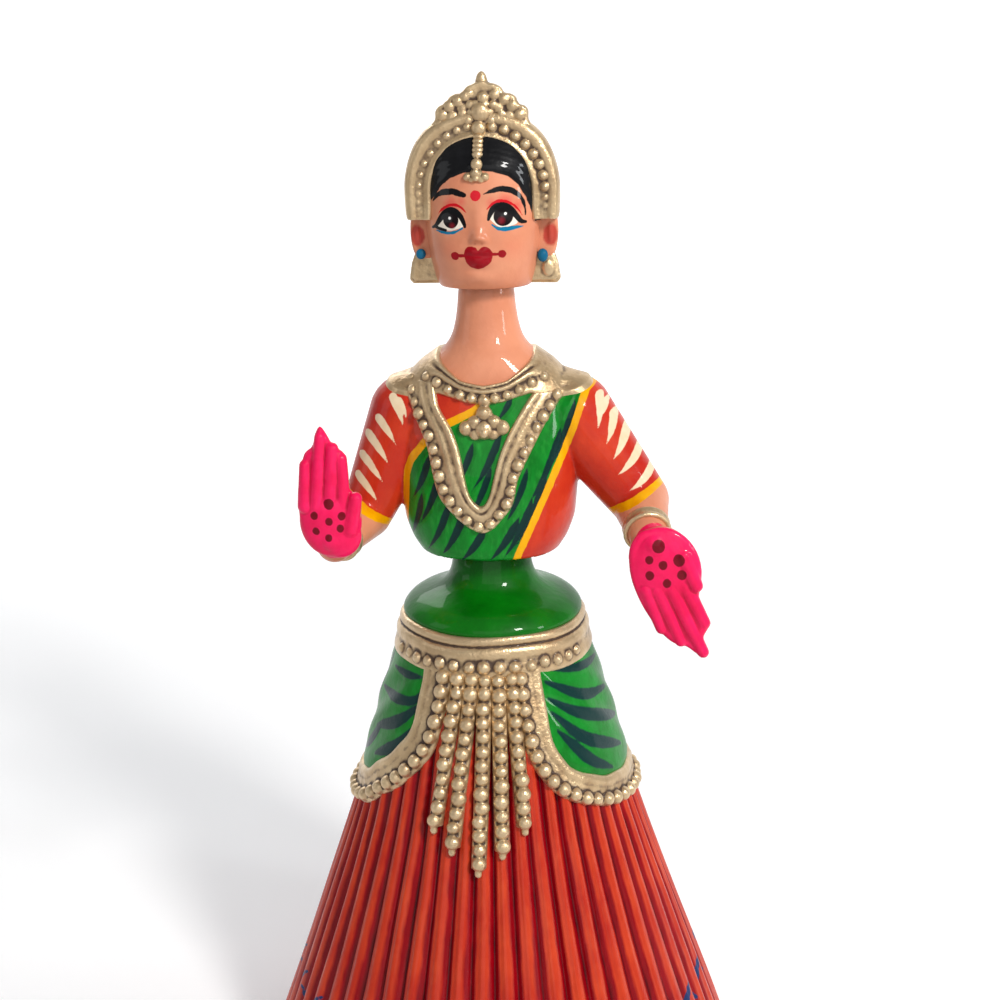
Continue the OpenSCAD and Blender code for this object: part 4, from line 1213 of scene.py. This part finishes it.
paintedHead = makeHead()
finishPiece(paintedHead, facePaint(), "head", "skin_paint", "head_front", "head_back")
headTree = BVHTree.FromObject(paintedHead, bpy.context.evaluated_depsgraph_get())
print("head made")

# The crown is an arch with a beaded channel, and a crest above it

crown = {"centre": 287.0, "foot": 278.6, "bandMiddle": 18.0, "beadY": -9.25, "smallSide": 0.74,
         "section": [(14.2, -6.5), (14.2, -9.2), (14.7, -10.1), (15.5, -10.25), (16.2, -9.95), (16.9, -9.55),
                     (18.0, -9.45),
                     (19.0, -9.5), (19.7, -9.85), (20.5, -10.0), (21.4, -9.75), (22.1, -9.0), (22.6, -7.6),
                     (22.7, -5.6),
                     (22.4, -3.6), (21.6, -2.2), (20.0, -1.6), (17, -1.6), (15.4, -2.0), (14.4, -3.0)],
         "beads": [(3.4, 304.7, 1.45), (6.9, 303.9, 1.45), (10.1, 302.1, 1.5), (12.9, 299.8, 1.45),
                   (15.2, 297.1, 1.5), (16.9, 294.2, 1.5),
                   (17.9, 291.1, 1.5), (18.4, 287.9, 1.4), (18.5, 284.9, 0.9), (18.5, 282.4, 0.7),
                   (-3.6, 304.8, 1.3), (-6.6, 303.9, 1.25),
                   (-9.6, 302.4, 1.2), (-12.3, 300.3, 1.2), (-14.5, 297.6, 1.15), (-16.3, 294.7, 1.1),
                   (-17.5, 291.6, 1.05), (-18.1, 288.6, 0.95),
                   (-18.3, 286.1, 0.8), (-18.4, 283.7, 0.7), (-18.4, 281.8, 0.6)],
         "plate": [(-14.4, 302.6), (-14.2, 305.4), (-13.0, 307.0), (-12.9, 309.2), (-11.6, 310.9),
                   (-9.6, 311.2), (-8.9, 313.0),
                   (-7.2, 314.0), (-5.0, 314.2), (-4.0, 315.8), (-2.4, 316.6), (0.5, 317.6), (2.6, 317.0),
                   (4.4, 316.6),
                   (6.2, 315.6), (6.9, 314.2), (8.8, 313.9), (10.4, 312.8), (10.9, 311.0), (12.6, 310.6),
                   (13.8, 309.2),
                   (13.8, 306.8), (14.6, 305.2), (14.4, 302.6), (0.0, 304.5), (-14.4, 302.6)],
         "lobes": [(-12.6, 305.4, 1.7), (-11.6, 308.4, 1.9), (-9.4, 310.9, 1.8), (-6.8, 312.4, 1.7),
                   (-4.4, 313.9, 1.6), (4.6, 314.2, 1.7),
                   (7.4, 312.8, 1.8), (10.0, 310.9, 1.9), (12.1, 308.2, 1.8), (13.0, 305.2, 1.6),
                   (-8.6, 307.6, 2.2), (8.8, 307.6, 2.2),
                   (-5.2, 310.2, 1.9), (5.6, 310.4, 1.9)],
         "knobs": [(0.2, 308.8, 2.5, -9.6), (1.1, 312.8, 1.45, -9.3), (-0.3, 304.4, 2.0, -10.2),
                   (-2.6, 311.0, 1.1, -9.4),
                   (-4.9, 308.6, 1.15, -9.2), (3.9, 310.9, 1.1, -9.4), (3.3, 306.6, 1.2, -9.6),
                   (6.3, 308.2, 1.1, -9.2), (-3.3, 306.6, 1.2, -9.6),
                   (-2.9, 314.0, 1.1, -8.8), (3.4, 313.6, 1.0, -8.8), (-6.4, 306.4, 1.0, -9.4),
                   (6.4, 306.0, 1.0, -9.4)]}


def archSpot(r, share):
    # a point of the arch, from the right foot over the top to the left foot
    leg, bend = crown["centre"] - crown["foot"], math.pi * r
    walk = share * (2 * leg + bend)
    if walk < leg:
        return -r, crown["foot"] + walk
    if walk > leg + bend:
        return r, crown["foot"] + 2 * leg + bend - walk
    q = (walk - leg) / r
    return -r * math.cos(q), crown["centre"] + r * math.sin(q)


def makeCrown():
    pile = Pile()
    rings = []
    for share in np.linspace(0, 1, 150):
        flare = 1 + 0.035 * math.exp(-((abs(share - 0.5) - 0.2) / 0.1) ** 2)
        ring = []
        for r, y in crown["section"]:
            leg = float(np.interp(min(share, 1 - share), [0, 0.02, 0.07], [0.88, 0.96, 1]))
            x, z = archSpot(crown["bandMiddle"] + (r - crown["bandMiddle"]) * leg, share)
            grow = 1 + (flare - 1) * max(0, (r - 17) / 5)
            ring.append((x * grow, y, crown["centre"] + (z - crown["centre"]) * grow))
        rings.append(ring)
    pile.rings(rings)
    for x, z, size in crown["beads"]:
        size *= 1.0 if x > -2 else crown["smallSide"]
        pile.ball((x, crown["beadY"], z), size)
    return pile.cast("goldCrown", 0.3, 5)


def makeCrest():
    # a stepped plate under flat lobes, with a boss of petals and a bud on top
    pile = Pile()
    edge = curveThrough(crown["plate"], 120)
    middle = np.array((0.3, 307.0))
    pile.rings([np.insert(middle + (edge - middle) * s, 1, y, axis=1)
                for s, y in ((0.95, -5.0), (1.0, -5.8), (1.0, -8.0), (0.96, -8.8))])
    for x, z, size in crown["lobes"]:
        pile.ball((0.3 + (x - 0.3) * 0.93, -7.9, 305 + (z - 305) * 0.93), (size * 1.1, 1.7, size * 1.1))
    pile.ball((0.5, -6.8, 316.4), (1.9, 1.7, 3.9))
    pile.ball((0.5, -6.8, 314.6), (2.6, 1.9, 1.6))
    for x, z, size, y in crown["knobs"]:
        pile.ball((x, y + 0.3, z), (size * 1.12, size * 0.8, size * 1.12))
    for k in range(6):
        q = k * math.pi / 3
        pile.ball((0.2 + 2.7 * math.cos(q), -9.2, 308.8 + 2.7 * math.sin(q)), (1.1, 0.8, 1.1),
                  rows=7, cols=10)
    return pile.cast("goldCrest", 0.28, 7)


def makeForeheadDrop():
    # a ribbed chain down the parting, then a drop of three lobes
    pile = Pile()
    for z in np.arange(303.0, 296.5, -1.15):
        spot, out = frontHits(headTree, [[-0.4, z]])
        pile.ball(spot[0] + out[0] * 0.5, (1.7, 1.1, 0.85))
    for x, z, size, lift in ((-0.5, 294.6, 1.75, 0.9), (-0.5, 297.0, 1.3, 0.6), (-0.7, 291.9, 1.9, 0.4),
                             (-3.1, 291.2, 1.3, 0.4),
                             (1.8, 291.2, 1.3, 0.4), (-1.9, 290.7, 1.1, 0.4), (0.6, 290.6, 1.1, 0.4),
                             (-0.7, 292.3, 1.0, 1.6),
                             (-3.0, 291.2, 0.75, 1.2), (1.7, 291.2, 0.75, 1.2), (-0.7, 290.6, 0.8, 1.2)):
        spot, out = frontHits(headTree, [[x, z]])
        pile.ball(spot[0] + out[0] * lift, (size, size * 0.8, size))
    return pile.cast("foreheadDrop", 0.26, 2)


finishPiece(makeCrown(), gold, "head", "gold_paint", "crown_band")
finishPiece(makeCrest(), gold, "head", "gold_paint", "crown_crest")
finishPiece(makeForeheadDrop(), gold, "head", "gold_paint", "forehead_pendant")
print("crown made")

# Ears, earrings, bun and braid


def makeEar(word, side):
    # a flat plate that goes on from the side of the head
    pile = Pile()
    outline = curveThrough([(15.4, 281), (20.4, 281.4), (21.6, 278.5), (21.9, 274.5), (21.5, 270.5),
                            (20.4, 267.6), (17.6, 266.4),
                            (15.0, 267.4), (14.6, 274), (15.4, 281)], 60)[:-1]
    middle = outline.mean(0)
    rings = [np.insert((middle + (outline - middle) * s) * (side, 1), 1, y, axis=1)
             for s, y in ((0.86, -0.6), (0.98, -1.4), (1.0, -2.6), (0.95, -3.9), (0.84, -4.6))]
    pile.rings(rings)
    pile.ball((side * 19.6, -4.5, 274.4), (0.9, 0.7, 3.2))
    ear = castWhole(pile.made(word + "PaintedEar"), 0.32, 4)
    p = pointsOf(ear)
    paintLayer(ear, "blush", np.hypot((p[:, 0] - side * 19.6) / 2.1, (p[:, 2] - 273.6) / 3.2) - 1)
    return markHollows(ear)


def earPaint():
    f = Finish("earPaint")
    colour = f.mix(f.noise(9), tint(218, 144, 110), tint(202, 126, 94))
    colour = f.mix(f.inside("blush", 0.3, f.noise(2.0)) * 0.85, colour, tint(176, 44, 40))
    return f.varnish(colour)


def makeEarring(word, side):
    # a flat flared plate, with a drop on the left one
    pile = Pile()
    outline = np.array([(13.6, 268.0), (20.6, 268.4), (21.7, 265.5), (22.5, 260.6), (21.4, 259.3),
                        (13.0, 259.4), (11.8, 261.2)])
    rings = [[(side * x, y, z) for x, z in outline] for y in (-0.4, -3.4)]
    pile.rings(rings)
    pile.rings([[(side * (17.8 + (x - 17.8) * 0.82), y, 264 + (z - 264) * 0.8) for x, z in outline]
                for y in (-3.0, -4.0)])
    if side > 0:
        pile.ball((18.8, -4.0, 263.8), (1.7, 0.8, 2.3))
    return pile.cast(word + "GoldEarring", 0.3, 4)


def makeStud(word, x, z, size):
    pile = Pile()
    pile.ball((x, -5.2, z), size, rows=15, cols=22)
    return castWhole(pile.made(word + "BlueStud"), 0.22, 2)


bun = {"rows": 60, "columns": 120, "radius": 9.6, "depth": 6.4, "wrap": 0.56, "behind": 18.0, "height": 281}


def makeBun():
    # a coiled knot of hair
    rows, cols, wrap = bun["rows"], bun["columns"], bun["wrap"]
    share = np.linspace(0, 1, rows)[:, None]
    q = np.arange(cols)[None, :] * 2 * math.pi / cols
    out = bun["radius"] * np.sin(share * math.pi * wrap) / math.sin(math.pi * wrap)
    rise = bun["depth"] * np.cos(share * math.pi * wrap)
    coil = 0.35 * np.sin(share * 26 + q)
    comb = 0.08 * np.sin(q * 40 + share * 30)
    y = bun["behind"] + rise * 0.9 + coil + comb * np.minimum(1, share * 4)
    points = np.stack([out * np.cos(q), y, bun["height"] + out * np.sin(q)], -1)
    return makeObject("hairBun", points, gridQuads(rows, cols, True))


def makeBraid():
    pile = Pile()
    for k, z in enumerate(np.arange(231, 181, -3.0)):
        for side in (-1, 1):
            wide = np.interp(z, [181, 190, 231], [1.0, 1.7, 2.1])
            spot, out = castOn(torsoTree, [(side * wide, 60, z - (1.5 if side > 0 else 0))], [(0, -40, 0)])
            q = math.radians(34 * side)
            turn = np.array([[math.cos(q), 0, math.sin(q)], [0, 1, 0], [-math.sin(q), 0, math.cos(q)]])
            pile.ball(spot[0] + out[0] * 0.5, (wide * 0.95, 1.7, wide * 1.35), turn)
    spot, out = castOn(torsoTree, [(0, 60, 180.5)], [(0, -40, 0)])
    pile.ball(spot[0] + out[0] * 0.4, (1.4, 1.2, 2.2))
    return pile.cast("hairBraid", 0.33, 2)


hairEnamel = plainEnamel("hairEnamel", (20, 20, 22), (8, 8, 10), (46, 46, 52))
earEnamel = earPaint()
for word, side, stud in (("right", -1, (-18.6, 268.3, (1.5, 1.2, 1.6))),
                         ("left", 1, (17.3, 267.7, (1.6, 1.3, 2.0)))):
    finishPiece(makeEar(word, side), earEnamel, "head", "skin_paint", word + "_ear")
    finishPiece(makeEarring(word, side), gold, "head", "gold_paint", word + "_earring")
    finishPiece(makeStud(word, *stud), blueEnamel, "head", None)
finishPiece(makeBun(), hairEnamel, "head", "hair_paint", "hair_bun")
finishPiece(makeBraid(), hairEnamel, "torso", "hair_paint", "back_braid")
print("ears and hair made")

# Parts of the frame that stay as they are get their own finish


def woodFinish():
    f = Finish("baseWood")
    grain = f.noise(2.2, 4.0, stretch=(0.08, 1.0, 1.0))
    colour = f.mix(grain, tint(206, 168, 116), tint(158, 112, 68))
    colour = f.mix(((f.noise(0.9, 3.0, stretch=(0.1, 1, 1)) - 0.6) * 5).clamped() * 0.5, colour,
                   tint(112, 74, 44))
    return f.dress(colour, 0.62 + grain * 0.15, grain, bump=0.0003)


def clayFinish():
    f = Finish("driedClay")
    colour = f.mix(f.noise(6, 5.0), tint(168, 124, 94), tint(128, 88, 62))
    crack = ((f.noise(2.5, 5.0) - 0.6) * 8).clamped()
    return f.dress(f.mix(crack * 0.5, colour, tint(92, 62, 44)), 0.85 + crack * 0.1,
                   f.noise(1.6, 4.0) - crack, bump=0.0005)


def wireFinish():
    f = Finish("drawnWire")
    rust = ((f.noise(1.8, 5.0) - 0.55) * 5).clamped()
    colour = f.mix(f.noise(0.8), tint(176, 176, 180), tint(140, 140, 146))
    colour = f.mix(rust * 0.6, colour, tint(120, 74, 46))
    return f.dress(colour, 0.3 + rust * 0.4, f.noise(0.6), metallic=1.0 - rust * 0.7, bump=0.0001)


def pulpFinish():
    f = Finish("paperPulp")
    fibre = f.noise(1.2, 5.0, stretch=(1, 0.4, 1))
    return f.dress(f.mix(fibre, tint(196, 180, 152), tint(150, 132, 106)), 0.8 + fibre * 0.15, fibre,
                   bump=0.0004)


wood, clay, wire, pulp = woodFinish(), clayFinish(), wireFinish(), pulpFinish()
kept = {"base_board": wood, "waist_plug": wood, "neck_plug": wood, "base_clay": clay, "torso_clay": clay,
        "head_clay": clay,
        "waist_hoop": wire, "neck_hoop": wire, "torso_cross_wire": wire, "head_cross_wire": wire,
        "front_wire_lug": pulp, "back_wire_lug": pulp}
for node, material in kept.items():
    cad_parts[node].data.materials.clear()
    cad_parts[node].data.materials.append(material)

print("done")
